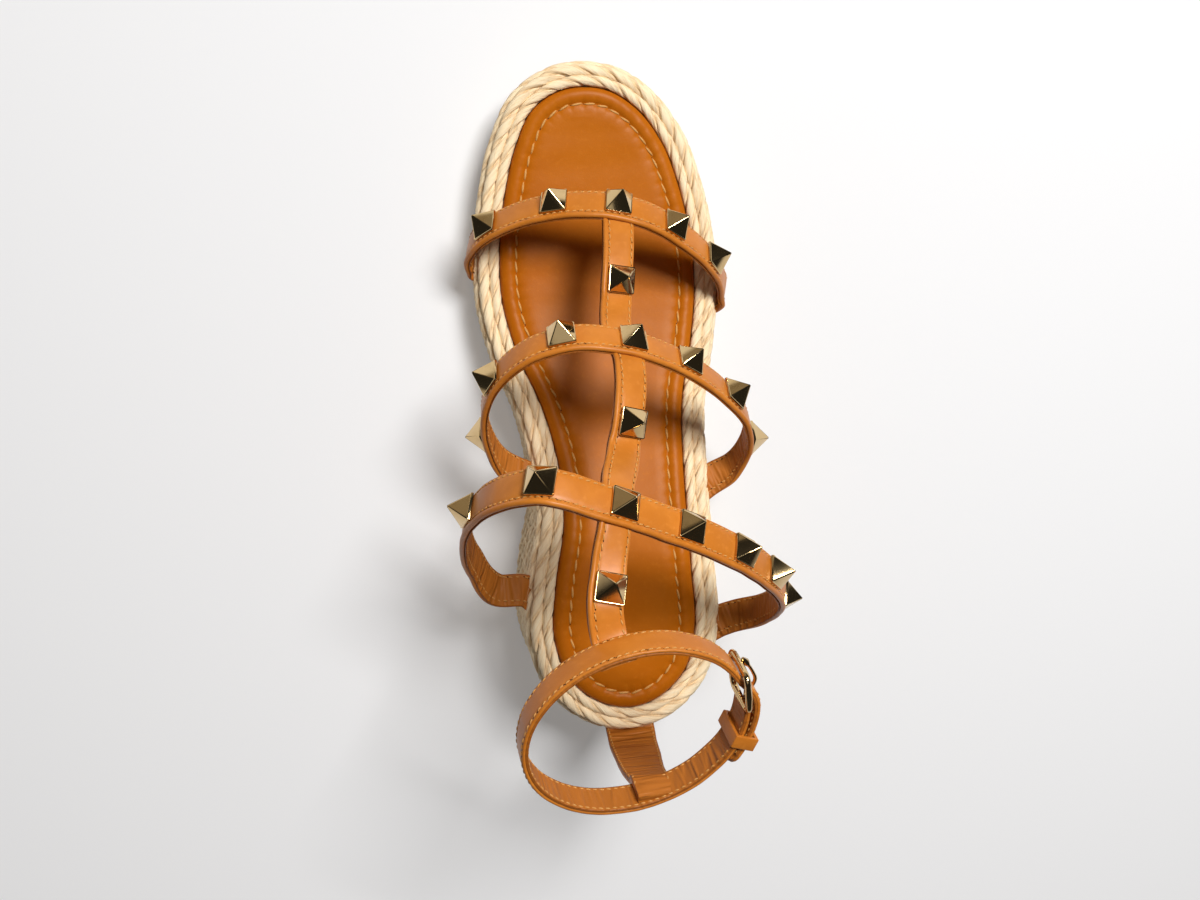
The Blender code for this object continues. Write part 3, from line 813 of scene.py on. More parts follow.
@dataclass(frozen=True)
class Thread:
    """Waxed sewing thread, with painted shade on the small dark cones that stand for the holes it goes down
    through.
    """

    name: str = "thread"
    base: Colour = (0.47, 0.195, 0.038)
    pale: Colour = (0.70, 0.385, 0.12)
    # hole: painted shade on the cones that stand for the stitch holes
    hole: Colour = (0.060, 0.018, 0.003)
    roughness: float = 0.5
    specular: float = 0.25
    fuzz_scale: float = 4200.0
    fuzz_depth: float = 0.00005

    def build(self) -> bpy.types.Material:
        """Make the material.

        Returns:
            A material with a fine fuzz in the shoe's own coordinates.
        """
        g = Graph(self.name)
        fuzz = g.noise(g.coordinates("Object"), self.fuzz_scale, 2.0)
        thread = g.mix(g.ramp(fuzz, 0.2, 0.8), self.base, self.pale)
        g.principled(
            # painted shade where the mark layer flags the hole cones
            Base_Color=g.mix(g.mark(), thread, self.hole),
            Roughness=self.roughness + 0.4 * g.mark(),
            Specular_IOR_Level=self.specular,
            Normal=g.bump((fuzz, self.fuzz_depth)),
        )
        return g.material


@dataclass(frozen=True)
class Rubber:
    """Matt dark rubber with a fine pebbled tread."""

    name: str = "outsole_rubber"
    base: Colour = (0.052, 0.034, 0.022)
    worn: Colour = (0.10, 0.070, 0.048)
    roughness: float = 0.66
    dust_scale: float = 240.0
    pebble_scale: float = 700.0
    pebble_depth: float = 0.0002

    def build(self) -> bpy.types.Material:
        """Make the material.

        Returns:
            A material in the shoe's own coordinates.
        """
        g = Graph(self.name)
        place = g.coordinates("Object")
        dust = g.noise(place, self.dust_scale, 4.0)
        pebbles = g.cells(place, self.pebble_scale)
        g.principled(
            Base_Color=g.mix(g.ramp(dust, 0.45, 0.75), self.base, self.worn),
            Roughness=self.roughness + 0.2 * dust,
            Normal=g.bump((g.ramp(pebbles, 0.1, 0.5), self.pebble_depth)),
        )
        return g.material


@dataclass(frozen=True)
class PaleGold:
    """Polished plated metal with the faintest handling marks."""

    name: str = "pale_gold_plate"
    base: Colour = (0.66, 0.47, 0.23)
    worn: Colour = (0.56, 0.38, 0.17)
    roughness: float = 0.07
    film_scale: float = 160.0
    scratch_scale: tuple[float, float, float] = (900.0, 5200.0, 900.0)
    scratch_depth: float = 0.000004

    def build(self) -> bpy.types.Material:
        """Make the material.

        Returns:
            A metal in the shoe's own coordinates.
        """
        g = Graph(self.name)
        place = g.coordinates("Object")
        film = g.noise(place, self.film_scale, 4.0)
        scratches = g.noise(g.coordinates("Object", self.scratch_scale), 1.0, 2.0)
        g.principled(
            Base_Color=g.mix(g.ramp(film, 0.5, 0.8), self.base, self.worn),
            Metallic=1.0,
            Roughness=self.roughness + 0.09 * film,
            Normal=g.bump((scratches, self.scratch_depth)),
        )
        return g.material


@dataclass(frozen=True)
class Paper:
    """The plain floor."""

    name: str = "plain_floor"
    base: Colour = (0.645, 0.645, 0.65)
    light: Colour = (1.0, 0.97, 0.95)
    glow: float = 0.19
    roughness: float = 0.85
    specular: float = 0.2

    def build(self) -> bpy.types.Material:
        """Make the material, lit a little from below as on a light table."""
        g = Graph(self.name)
        g.principled(
            Base_Color=self.base,
            Roughness=self.roughness,
            Specular_IOR_Level=self.specular,
            Emission_Color=self.light,
            Emission_Strength=self.glow,
        )
        return g.material


@dataclass
class Finishes:
    """Every finish, built once."""

    band: bpy.types.Material = field(default_factory=lambda: BandLeather().build())
    footbed: bpy.types.Material = field(default_factory=lambda: FootbedLeather().build())
    jute: bpy.types.Material = field(default_factory=lambda: JuteFibre().build())
    thread: bpy.types.Material = field(default_factory=lambda: Thread().build())
    rubber: bpy.types.Material = field(default_factory=lambda: Rubber().build())
    gold: bpy.types.Material = field(default_factory=lambda: PaleGold().build())


# ---------------------------------------------------------------------------
# Stitches
# ---------------------------------------------------------------------------


@dataclass(frozen=True)
class StitchKind:
    """One visible bit of a twisted two-ply thread, with a small dark cone at each end as painted shade for
    its hole.
    """

    pitch: float
    length: float
    radius: float
    slant: float
    pit: float = 0.31
    ring_count: int = 5
    sides: int = 6
    ply_depth: float = 0.16
    ply_twist: float = 3.4
    end_sink: float = 1.15
    pit_sink: float = 0.95
    pit_sides: int = 6
    pit_top: float = 0.75
    pit_depth: float = 1.3
    pit_flattening: tuple[float, ...] = (1.9, 1.0, 0.5, 1.0)

    def seed(self) -> bpy.types.Mesh:
        """One stitch lying along X with its outside to Z, as a mesh in metres.

        Returns:
            The mesh.
        """
        body = bmesh.new()
        bmesh.ops.create_uvsphere(
            body,
            u_segments=self.sides,
            v_segments=self.ring_count,
            radius=1.0,
            matrix=Matrix.Rotation(math.pi / 2, 4, "Y"),
        )
        half = self.length / 2
        for vert in body.verts:
            share, turn = vert.co.x, math.atan2(vert.co.z, vert.co.y)
            full = (1.0 - abs(share) ** 3) ** 0.5 if abs(share) < 1.0 else 0.0
            ply = 1.0 + self.ply_depth * math.cos(2.0 * turn - self.ply_twist * share)
            reach = self.radius * full * ply
            sink = self.end_sink * self.radius * share**4
            vert.co = Vector((share * half, reach * math.cos(turn), reach * math.sin(turn) - sink)) * MM
        painted_shade_layer = body.verts.layers.float.new("mark")
        # a flattened cone at each end, marked as painted shade for the stitch hole
        for end in (-half, half):
            place = Matrix.Translation(Vector((end, 0.0, -self.pit_sink * self.radius)) * MM)
            pit = bmesh.ops.create_cone(
                body,
                cap_ends=True,
                segments=self.pit_sides,
                radius1=self.pit * MM,
                radius2=self.pit_top * self.pit * MM,
                depth=self.pit_depth * self.pit * MM,
                matrix=place @ Matrix.Diagonal(self.pit_flattening),
            )["verts"]
            for vert in pit:
                vert[painted_shade_layer] = 1.0
        mesh = bpy.data.meshes.new("stitch_seed")
        body.to_mesh(mesh)
        body.free()
        return mesh


def sew(name: str, kind: StitchKind, frames: Iterable[Matrix]) -> bpy.types.Object:
    """Set one stitch at each frame, all in one mesh.

    Args:
        name: the object's name.
        kind: the sort of stitch.
        frames: placings in metres; X runs along the seam and Z stands out from the leather.

    Returns:
        The object.
    """
    seed = kind.seed()
    body = bmesh.new()
    for placing in frames:
        bit = seed.copy()
        bit.transform(placing)
        body.from_mesh(bit)
        bpy.data.meshes.remove(bit)
    return write_object(name, body, ALL_SMOOTH)


def frame_matrix(point: Array, along: Array, out: Array, spin: float = 0.0) -> Matrix:
    """A placing from a point in millimetres, a way to run and a way out.

    Args:
        point: the place.
        along: what X follows.
        out: what Z follows.
        spin: a turn about Z, in radians.

    Returns:
        The placing in metres.
    """
    x_axis = Vector(along).normalized()
    z_axis = (Vector(out) - x_axis * x_axis.dot(Vector(out))).normalized()
    y_axis = z_axis.cross(x_axis)
    turned = Matrix((x_axis, y_axis, z_axis)).transposed().to_4x4()
    return Matrix.Translation(Vector(point) * MM) @ turned @ Matrix.Rotation(spin, 4, "Z")


# ---------------------------------------------------------------------------
# Leather bands
# ---------------------------------------------------------------------------


class Edge(Enum):
    """How a band's second edge is finished."""

    ROLLED = "rolled"
    CUT = "cut"


@dataclass(frozen=True)
class BandSection:
    """A folded leather band in section: its cut edge at -low, its other edge at +high."""

    low: float
    high: float
    edge: Edge
    roll: float = 1.1
    lip: float = 0.5
    crown: float = 0.28
    groove: float = 0.16
    groove_width: float = 0.55
    seam_inset: float = 1.05
    seam_from_roll: float = 0.55
    cut_inset: float = 0.35
    face_inset: float = 0.25
    lining_inset: float = 0.8
    roll_ends: float = -0.38 * math.pi
    face_points: int = 22
    roll_points: int = 12
    lining_points: int = 15

    @property
    def roll_hub(self) -> tuple[float, float]:
        """The middle of the rolled edge."""
        return self.high - self.roll, 0.45 * self.roll - self.roll

    @property
    def roll_starts(self) -> float:
        """The angle at which the roll rises out of the face."""
        return math.pi - math.asin(min(-self.roll_hub[1] / self.roll, 1.0))

    @property
    def seams(self) -> tuple[float, float]:
        """How far across the two rows of stitches lie."""
        if self.edge is Edge.ROLLED:
            return -self.low + self.seam_inset, self.face_ends - self.seam_from_roll
        return -self.low + self.seam_inset, self.high - self.seam_inset

    @property
    def face_ends(self) -> float:
        """Where the flat face meets the second edge."""
        if self.edge is Edge.ROLLED:
            return self.roll_hub[0] + self.roll * math.cos(self.roll_starts)
        return self.high - self.cut_inset

    def cut_edge(self) -> Array:
        """The two layers' edges, from the lining up to the face, as if the edge were at 0."""
        return np.array(
            [
                (0.30, -LEATHER, 0.8),
                (0.06, -2.08, 0.5),
                (0.0, -1.75, 0.45),
                (0.05, -1.35, 0.4),
                (0.28, -1.2, 0.5),
                (0.04, -1.05, 0.3),
                (-0.03, -0.6, 0.25),
                (0.06, -0.22, 0.1),
                (0.35, -0.02, 0.0),
            ]
        )

    def rolled_edge(self) -> Array:
        """The roll, the gap under it painted dark as shade, and the lining's lip, from the face down."""
        turns = np.linspace(self.roll_starts, self.roll_ends, self.roll_points)
        hub_across, hub_out = self.roll_hub
        round_part = np.column_stack(
            [
                hub_across + self.roll * np.cos(turns),
                hub_out + self.roll * np.sin(turns),
                np.zeros_like(turns),
            ]
        )
        top = -LEATHER + self.lip
        # the gap's marks of 0.42 paint it in the dark edge colour as shade under the roll
        gap = [(hub_across + 0.1, top + 0.1, 0.42), (hub_across - 0.2, top + 0.03, 0.42)]
        lip = [
            (self.high - 0.3, top, 0.45),
            (self.high - 0.05, top - 0.12, 0.6),
            (self.high - 0.02, top - 0.35, 0.6),
            (self.high - 0.3, -LEATHER, 0.7),
        ]
        return np.vstack([round_part, gap, lip])

    def loop(self) -> Array:
        """The whole section.

        Returns:
            Rows of across, out and a mark: 0 on the face, 0.25 to 0.5 for the dark edge colour (dyed cut
                edges, painted shade in the gap under the roll), towards 1 on the lining.
        """
        near = self.cut_edge()
        near[:, 0] -= self.low
        across = np.linspace(self.lining_inset - self.low, self.face_ends - self.face_inset, self.face_points)
        middle = (self.face_ends - self.low) / 2
        reach = (self.face_ends + self.low) / 2
        out = self.crown * (1.0 - np.clip(np.abs(across - middle) / reach, 0, 1) ** 2.5)
        for seam in self.seams:
            out = out - self.groove * np.exp(-(((across - seam) / self.groove_width) ** 2))
        face = np.column_stack([across, out, np.zeros_like(across)])
        if self.edge is Edge.ROLLED:
            far = self.rolled_edge()
        else:
            far = self.cut_edge()[::-1]
            far[:, 0] = self.high - far[:, 0]
        across = np.linspace(self.high - self.lining_inset, self.lining_inset - self.low, self.lining_points)
        lining = np.column_stack([across, np.full_like(across, -LEATHER), np.ones_like(across)])
        return np.vstack([near, face, far, lining])


class Waves:
    """A smooth seeded unevenness, about -1 to 1, along one or two measures."""

    SPREAD: ClassVar[tuple[float, float]] = (0.55, 1.8)
    LEAN: ClassVar[float] = 0.6

    def __init__(self, seed: int, wavelength: float, count: int = 7) -> None:
        """Choose the waves.

        Args:
            seed: fixes the choice.
            wavelength: the middle wavelength.
            count: how many waves are summed.
        """
        chosen = random.Random(seed)
        self.rates = [TURN / (wavelength * chosen.uniform(*self.SPREAD)) for _ in range(count)]
        self.leans = [chosen.uniform(-self.LEAN, self.LEAN) for _ in range(count)]
        self.starts = [chosen.uniform(0, TURN) for _ in range(count)]

    def __call__(self, along: Array, across: Any = 0.0) -> Array:
        """Read the unevenness."""
        total = 0.0
        for rate, lean, start in zip(self.rates, self.leans, self.starts):
            total = total + np.sin(rate * (along + lean * across) + start)
        return total / math.sqrt(2 * len(self.rates))


@dataclass
class LeatherBand:
    """One strap of folded leather with two sewn seams."""

    name: str
    path: SmoothPath
    section: BandSection
    seed: int
    stitch: StitchKind = StitchKind(pitch=2.6, length=1.9, radius=0.26, slant=0.2)
    step: float = 1.4
    tucked: tuple[bool, bool] = (True, True)
    skive_left: float = 0.5
    skive_length: float = 6.0
    seams_start: float = 4.0
    seam_proud: float = 0.06
    lining_seam_proud: float = 0.02
    half_widths: Optional[Callable[[Array], Array]] = None
    pleat_pitch: float = 5.6
    pleat_lean: float = 0.28
    pleat_depth: float = 0.36
    pleats_fade: float = 26.0
    pleat_middle: float = 0.2
    wrinkle_depth: float = 0.12
    wrinkle_wavelength: float = 5.0
    slack_wavelength: float = 17.0
    lining_relief: float = 1.0
    lining_from: float = 0.7
    face_relief: float = 0.05
    face_until: float = 0.4
    face_wavelength: float = 9.0
    edge_wander: float = 0.10
    seam_jitter: float = 0.06
    spin_jitter: float = 0.05
    close_stretch: float = 12.0
    close_step: float = 0.8

    def distances(self) -> Array:
        """Stations along the band, closer where it turns in over the shelf."""
        length = self.path.length
        close = np.arange(0.0, self.close_stretch, self.close_step)
        first = close if self.tucked[0] else np.array([0.0])
        last = length - close[::-1] if self.tucked[1] else np.array([length])
        between = np.linspace(first[-1], last[0], int((last[0] - first[-1]) / self.step))
        return np.concatenate([first, between[1:-1], last])

    def from_tuck(self, distances: Array) -> Array:
        """How far each station is from the nearest tucked end."""
        away = np.full_like(distances, 1e3)
        if self.tucked[0]:
            away = np.minimum(away, distances)
        if self.tucked[1]:
            away = np.minimum(away, self.path.length - distances)
        return away

    def skive(self, distances: Array) -> Array:
        """The share of its thickness that the band keeps."""
        thinned = smoothstep(self.from_tuck(distances) / self.skive_length)
        return self.skive_left + (1.0 - self.skive_left) * thinned

    def sections(self, distances: Array) -> tuple[Array, Array, Array]:
        """The band's section at each station, with its pleats.

        Args:
            distances: where to read.

        Returns:
            Across, out and the mark for lining, dark edge colour and painted gap shade, each stations by
            points.
        """
        loop = self.section.loop()
        along = distances[:, None]
        across = np.broadcast_to(loop[None, :, 0], (len(distances), len(loop))).copy()
        out = np.broadcast_to(loop[None, :, 1], across.shape).copy()
        lining_edge_shade_mark = np.broadcast_to(loop[None, :, 2], across.shape)
        if self.half_widths is not None:
            across *= (self.half_widths(distances) / self.section.high)[:, None]
        wrinkle = Waves(self.seed, self.wrinkle_wavelength)
        slack = Waves(self.seed + 1, self.slack_wavelength)
        fine = Waves(self.seed + 2, self.face_wavelength)
        near_tuck = np.exp(-self.from_tuck(distances) / self.pleats_fade)[:, None]
        pleat = np.cos(TURN * (along + self.pleat_lean * across + slack(along)) / self.pleat_pitch)
        relief = self.pleat_depth * near_tuck * (pleat - self.pleat_middle)
        relief = self.wrinkle_depth * wrinkle(along, across) + relief
        inside = smoothstep((lining_edge_shade_mark - self.lining_from) / (1.0 - self.lining_from))
        out -= self.lining_relief * inside * relief
        face = 1.0 - smoothstep(lining_edge_shade_mark / self.face_until)
        out += face * self.face_relief * fine(along, 0.4 * across)
        across += self.edge_wander * slack(along)
        out *= self.skive(distances)[:, None]
        return across, out, lining_edge_shade_mark

    def skin_band(self) -> bpy.types.Object:
        """Sweep the band.

        Returns:
            The band's object.
        """
        distances = self.distances()
        across, out, lining_edge_shade_mark = self.sections(distances)
        rings = stations_on(self.path, distances).place(across, out)
        body = bmesh.new()
        skin(body, rings, Ends.FILLED, marks=lining_edge_shade_mark)
        bmesh.ops.recalc_face_normals(body, faces=body.faces)
        return write_object(self.name, body, 50.0)

    def seam_frames(self) -> list[Matrix]:
        """Where each stitch goes: both seams, on the face and on the lining."""
        chosen = random.Random(self.seed)
        frames = []
        count = int((self.path.length - 2 * self.seams_start) / self.stitch.pitch)
        centres = self.seams_start + self.stitch.pitch * (np.arange(count) + 0.5)
        held = stations_on(self.path, centres)
        thin = self.skive(centres)
        widen = np.ones_like(centres)
        if self.half_widths is not None:
            widen = self.half_widths(centres) / self.section.high
        for seam in self.section.seams:
            for side, level in ((1.0, self.seam_proud), (-1.0, -LEATHER - self.lining_seam_proud)):
                for i in range(count):
                    jitter = chosen.uniform(-self.seam_jitter, self.seam_jitter)
                    reach = seam * widen[i] + jitter
                    point = held.point[i] + held.width[i] * reach + held.out[i] * level * thin[i]
                    turned = chosen.uniform(-self.spin_jitter, self.spin_jitter)
                    spin = side * self.stitch.slant + turned
                    frames.append(frame_matrix(point, held.along[i], held.out[i] * side, spin))
        return frames

    def build(self, finishes: Finishes, stands_for: Iterable[str]) -> None:
        """Make the band and its stitches.

        Args:
            finishes: the materials.
            stands_for: the plain nodes it is shown instead of.
        """
        finish_piece(self.skin_band(), finishes.band, stands_for)
        thread = sew(f"{self.name}_stitches", self.stitch, self.seam_frames())
        finish_piece(thread, finishes.thread)


# ---------------------------------------------------------------------------
# The cage of straps
# ---------------------------------------------------------------------------


class StrapRow(NamedTuple):
    """A cross strap's face at one place, and how far its upper edge tips back from level."""

    x: float
    y: float
    z: float
    lean: float


@dataclass(frozen=True)
class StrapForm:
    """One cross strap's route, from its inner tuck to its outer one."""

    name: str
    yaw: float
    medial_tuck_y: float
    lateral_tuck_y: float
    crossing_x: float
    bar_drift: float
    stud_shares: tuple[float, ...]
    rows: tuple[StrapRow, ...]
    tuck_reach: float = 3.6
    tuck_run: float = 6.8
    tuck_rise: float = 1.0
    tuck_slant: float = 4.6
    tuck_clearance: float = 0.8
    tuck_hidden: float = 6.4

    def stud_places(self, length: float) -> list[float]:
        """How far along a path of some length each stud sits, as a share of the part in sight."""
        seen = length - 2 * self.tuck_hidden
        return [self.tuck_hidden + share * seen for share in self.stud_shares]

    def tuck(self, outer: bool, y: float) -> list[tuple[float, ...]]:
        """Where the strap goes in over the wall's shelf, and the row just outside."""
        edge = SOLE.side(outer)
        row, rate = edge.at(edge.reaching(1, y))
        (x, y), (rate_x, rate_y) = row[0], rate[0]
        side = 1.0 if outer else -1.0
        along = unit(np.array([rate_x, rate_y, 0.0]))
        outward = np.array([-along[1], along[0], 0.0]) * side
        slope = (SOLE.shelf_height(y - 3.0) - SOLE.shelf_height(y + 3.0)) / 6.0
        width = unit(np.array([along[0], along[1], slope]))
        level = float(SOLE.shelf_height(y)) + self.tuck_clearance
        rise = np.array([0.0, 0.0, self.tuck_rise])
        outer_row = np.array([x, y, level]) + outward * (self.tuck_reach + self.tuck_run) + rise
        inner = outer_row - outward * self.tuck_run + width * self.tuck_slant - rise
        return [(*inner, *width), (*outer_row, *width)]

    def path(self) -> SmoothPath:
        """The strap's face from tuck to tuck."""
        yaw = math.radians(self.yaw)
        rows = self.tuck(False, self.medial_tuck_y)
        for row in self.rows:
            lean = math.radians(row.lean)
            level = math.cos(lean)
            width = (-math.sin(yaw) * level, -math.cos(yaw) * level, math.sin(lean))
            rows.append((row.x, row.y, row.z, *width))
        rows += self.tuck(True, self.lateral_tuck_y)[::-1]
        return SmoothPath(rows)


CROSS_STRAPS = (
    StrapForm(
        name="one",
        yaw=12.0,
        medial_tuck_y=16.0,
        lateral_tuck_y=-1.0,
        tuck_slant=2.4,
        tuck_hidden=5.5,
        crossing_x=4.4,
        bar_drift=-0.13,
        stud_shares=(0.173, 0.359, 0.508, 0.662, 0.82),
        rows=(
            StrapRow(-52.5, 19.0, 21.5, 20.0),
            StrapRow(-50.8, 25.4, 32.5, 34.0),
            StrapRow(-38.0, 32.6, 45.0, 37.0),
            StrapRow(-20.2, 36.2, 54.6, 37.0),
            StrapRow(-3.0, 36.0, 59.0, 37.0),
            StrapRow(14.0, 32.0, 58.4, 37.0),
            StrapRow(30.6, 23.6, 51.0, 37.0),
            StrapRow(44.0, 13.8, 41.0, 37.0),
            StrapRow(51.8, 4.6, 28.6, 28.0),
            StrapRow(53.0, -0.6, 21.6, 9.0),
        ),
    ),
    StrapForm(
        name="two",
        yaw=6.0,
        medial_tuck_y=-71.5,
        lateral_tuck_y=-77.0,
        crossing_x=-0.4,
        bar_drift=-0.04,
        stud_shares=(0.15, 0.285, 0.425, 0.535, 0.64, 0.75, 0.87),
        rows=(
            StrapRow(-45.4, -63.5, 43.6, 34.0),
            StrapRow(-51.2, -51.5, 53.5, 46.0),
            StrapRow(-52.4, -40.6, 64.0, 49.0),
            StrapRow(-48.2, -27.6, 76.0, 49.0),
            StrapRow(-36.4, -17.2, 85.6, 49.0),
            StrapRow(-19.0, -12.6, 90.0, 49.0),
            StrapRow(0.0, -15.0, 89.6, 49.0),
            StrapRow(20.0, -22.8, 83.6, 49.0),
            StrapRow(39.6, -36.0, 73.6, 49.0),
            StrapRow(51.2, -48.6, 63.0, 49.0),
            StrapRow(54.2, -60.6, 52.0, 46.0),
            StrapRow(49.2, -71.8, 42.4, 34.0),
        ),
    ),
    StrapForm(
        name="three",
        yaw=15.0,
        medial_tuck_y=-117.0,
        lateral_tuck_y=-133.0,
        crossing_x=-11.8,
        bar_drift=-0.38,
        stud_shares=(0.28, 0.418, 0.513, 0.601, 0.684, 0.76, 0.86),
        rows=(
            StrapRow(-50.4, -113.0, 51.4, 20.0),
            StrapRow(-60.2, -97.0, 65.0, 30.0),
            StrapRow(-62.6, -83.0, 85.6, 31.5),
            StrapRow(-60.0, -70.6, 107.0, 31.5),
            StrapRow(-51.4, -61.4, 125.6, 31.5),
            StrapRow(-37.0, -57.6, 137.6, 31.5),
            StrapRow(-18.0, -64.2, 136.4, 31.5),
            StrapRow(4.0, -74.0, 130.0, 31.5),
            StrapRow(27.0, -86.0, 121.0, 31.5),
            StrapRow(46.6, -100.6, 106.0, 31.5),
            StrapRow(57.6, -115.0, 85.0, 31.5),
            StrapRow(54.6, -128.0, 60.6, 24.0),
        ),
    ),
)


@dataclass
class AnkleForm:
    """The ankle strap's oval, which dips to the back."""

    centre: tuple[float, float, float] = (-11.0, -139.5, 140.0)
    half_length: float = 33.0
    half_spread: float = 39.0
    dip: float = 20.0
    turn: float = 14.0
    starts: float = 12.0
    tail_ends: float = 50.0
    tail_lift: float = 3.3
    tail_rise_starts: float = 345.6
    tail_rise_ends: float = 366.0
    rows: int = 66

    def __post_init__(self) -> None:
        """Work out the tilt and the strap's route."""
        tilt = Matrix.Rotation(math.radians(self.turn), 3, "Z") @ Matrix.Rotation(
            math.radians(self.dip), 3, "X"
        )
        self.tilt = np.array(tilt)
        self.up = self.tilt @ np.array([0.0, 0.0, 1.0])
        angles = np.linspace(self.starts, 360.0 + self.tail_ends, self.rows)
        self.path = SmoothPath([(*self.point(a, self.lift(a)), *self.up) for a in angles])

    def lift(self, angle: float) -> float:
        """How far the free end lies over the strap's first stretch."""
        span = self.tail_rise_ends - self.tail_rise_starts
        return self.tail_lift * float(smoothstep((angle - self.tail_rise_starts) / span))

    def point(self, angle: float, lift: float) -> Array:
        """A point on the oval; the angle runs clockwise from above, from the outer side."""
        turn = math.radians(angle)
        across = (self.half_spread + lift) * math.cos(turn)
        onward = -(self.half_length + lift) * math.sin(turn)
        return np.array(self.centre) + self.tilt @ np.array([across, onward, 0.0])

    def station(self, angle: float) -> Stations:
        """The strap's frame at an angle."""
        return stations_on(self.path, np.array([self.path.nearest(self.point(angle, self.lift(angle)))]))


ANKLE = AnkleForm()


class BarRow(NamedTuple):
    """The T-bar between two crossings: its middle, its climb, its inward drift and its outward roll."""

    x: float
    y: float
    z: float
    climb: float
    drift: float
    roll: float


@dataclass(frozen=True)
class BarForm:
    """The T-bar's route under the cross straps and up inside the ankle strap."""

    middles: tuple[BarRow, ...] = (
        BarRow(0.9, 6.7, 71.0, 13.0, -0.13, 14.0),
        BarRow(-2.8, -43.0, 105.0, 13.0, -0.22, 22.0),
        BarRow(-18.2, -92.0, 143.0, 24.0, -0.2, 8.0),
    )
    middle_reach: float = 5.5
    crossing_reach: float = 4.5
    join_depth: float = 0.6

    def crossing_rows(self, form: StrapForm) -> list[tuple[float, ...]]:
        """The bar lies flat against a strap's inside and runs on towards the heel."""
        path = form.path()
        held = stations_on(path, np.array([path.reaching(0, form.crossing_x)]))
        out = held.out[0]
        heelward = np.array([form.bar_drift, -1.0, 0.0])
        along = unit(heelward - out * heelward.dot(out))
        width = np.cross(along, out)
        middle = held.point[0] - out * (LEATHER - self.join_depth)
        return [(*(middle + along * step), *width) for step in (-self.crossing_reach, self.crossing_reach)]

    def middle_rows(self, row: BarRow) -> list[tuple[float, ...]]:
        """The bar half way between two straps."""
        climb, roll = math.radians(row.climb), math.radians(row.roll)
        along = unit(np.array([row.drift, -math.cos(climb), math.sin(climb)]))
        width = (-math.cos(roll), 0.0, math.sin(roll))
        middle = np.array([row.x, row.y, row.z])
        return [(*(middle + along * step), *width) for step in (-self.middle_reach, self.middle_reach)]

    def path(self) -> SmoothPath:
        """The bar's face, toe end first."""
        rows = []
        for form, middle in zip(CROSS_STRAPS, self.middles):
            rows += self.crossing_rows(form)
            rows += self.middle_rows(middle)
        front = ANKLE.station(270.0)
        middle = front.point[0] - front.out[0] * (LEATHER - self.join_depth)
        for step in (-self.crossing_reach, self.crossing_reach):
            rows.append((*(middle + front.width[0] * step), *(-front.along[0])))
        return SmoothPath(rows)


@dataclass(frozen=True)
class StayForm:
    """The back stay's route from the heel up to the ankle strap."""

    foot_half_width: float = 10.0
    head_half_width: float = 6.5
    join_reach: float = 4.5
    join_depth: float = 0.6
    rows: tuple[tuple[float, float, float], ...] = (
        (0.6, -179.0, 54.0),
        (0.0, -180.0, 70.0),
        (-1.2, -177.6, 92.0),
        (-2.0, -173.4, 112.0),
    )

    def path(self) -> SmoothPath:
        """The stay's face, bottom first."""
        tip_x, tip_y = SOLE.heel_tip
        tuck = CROSS_STRAPS[0]
        level = float(SOLE.shelf_height(np.array(tip_y))) + tuck.tuck_clearance
        inner = tip_y - tuck.tuck_reach
        rows = [(tip_x, inner, level), (tip_x, inner - tuck.tuck_run, level + tuck.tuck_rise)]
        rows += list(self.rows)
        back = ANKLE.station(90.0)
        inward = back.out[0] * (LEATHER - self.join_depth)
        for step in (-self.join_reach, self.join_reach):
            rows.append(tuple(back.point[0] + back.width[0] * step - inward))
        return SmoothPath([(*row, 1.0, 0.0, 0.0) for row in rows])

    def half_width(self, length: float, distances: Array) -> Array:
        """The stay's half width along a path of some length, less towards its head."""
        taper = smoothstep(distances / length)
        return self.foot_half_width + (self.head_half_width - self.foot_half_width) * taper


@dataclass
class Cage:
    """Every leather band of the upper."""

    strap_section: BandSection = BandSection(low=6.35, high=6.6, edge=Edge.ROLLED)
    bar_section: BandSection = BandSection(low=6.0, high=6.0, edge=Edge.ROLLED, roll=1.0, crown=0.2)
    ankle_section: BandSection = BandSection(low=5.6, high=5.6, edge=Edge.CUT, crown=0.2)
    stay_section: BandSection = BandSection(low=10.0, high=10.0, edge=Edge.CUT, crown=0.3, face_points=34)
    bar_stitch: StitchKind = StitchKind(pitch=3.1, length=2.4, radius=0.27, slant=0.18)
    tip_length: float = 5.0

    def ankle_half_width(self, distances: Array) -> Array:
        """The ankle strap's half width, rounded to a tip at its free end."""
        left = np.clip((ANKLE.path.length - distances) / self.tip_length, 0.0, 1.0)
        return self.ankle_section.high * np.sqrt(np.clip(1.0 - (1.0 - left) ** 2.2, 0.02, 1.0))

    def bands(self) -> list[LeatherBand]:
        """The bands, toe to heel."""
        made = []
        for number, form in enumerate(CROSS_STRAPS):
            made.append(
                LeatherBand(
                    f"leather_strap_{form.name}", form.path(), self.strap_section, seed=11 + 7 * number
                )
            )
        made.append(
            LeatherBand(
                "leather_t_bar",
                BarForm().path(),
                self.bar_section,
                seed=41,
                stitch=self.bar_stitch,
                tucked=(False, False),
                pleat_pitch=9.0,
                lining_relief=0.5,
            )
        )
        made.append(
            LeatherBand(
                "leather_ankle_strap",
                ANKLE.path,
                self.ankle_section,
                seed=53,
                tucked=(False, False),
                half_widths=self.ankle_half_width,
                lining_relief=0.6,
            )
        )
        stay = StayForm()
        stay_path = stay.path()
        made.append(
            LeatherBand(
                "leather_back_stay",
                stay_path,
                self.stay_section,
                seed=67,
                tucked=(True, False),
                half_widths=partial(stay.half_width, stay_path.length),
                lining_relief=0.6,
            )
        )
        return made

    def build(self, finishes: Finishes) -> None:
        """Make every band in place of the plain cage."""
        for band in self.bands():
            band.build(finishes, ["caged_upper"])


# ---------------------------------------------------------------------------
# Studs
# ---------------------------------------------------------------------------


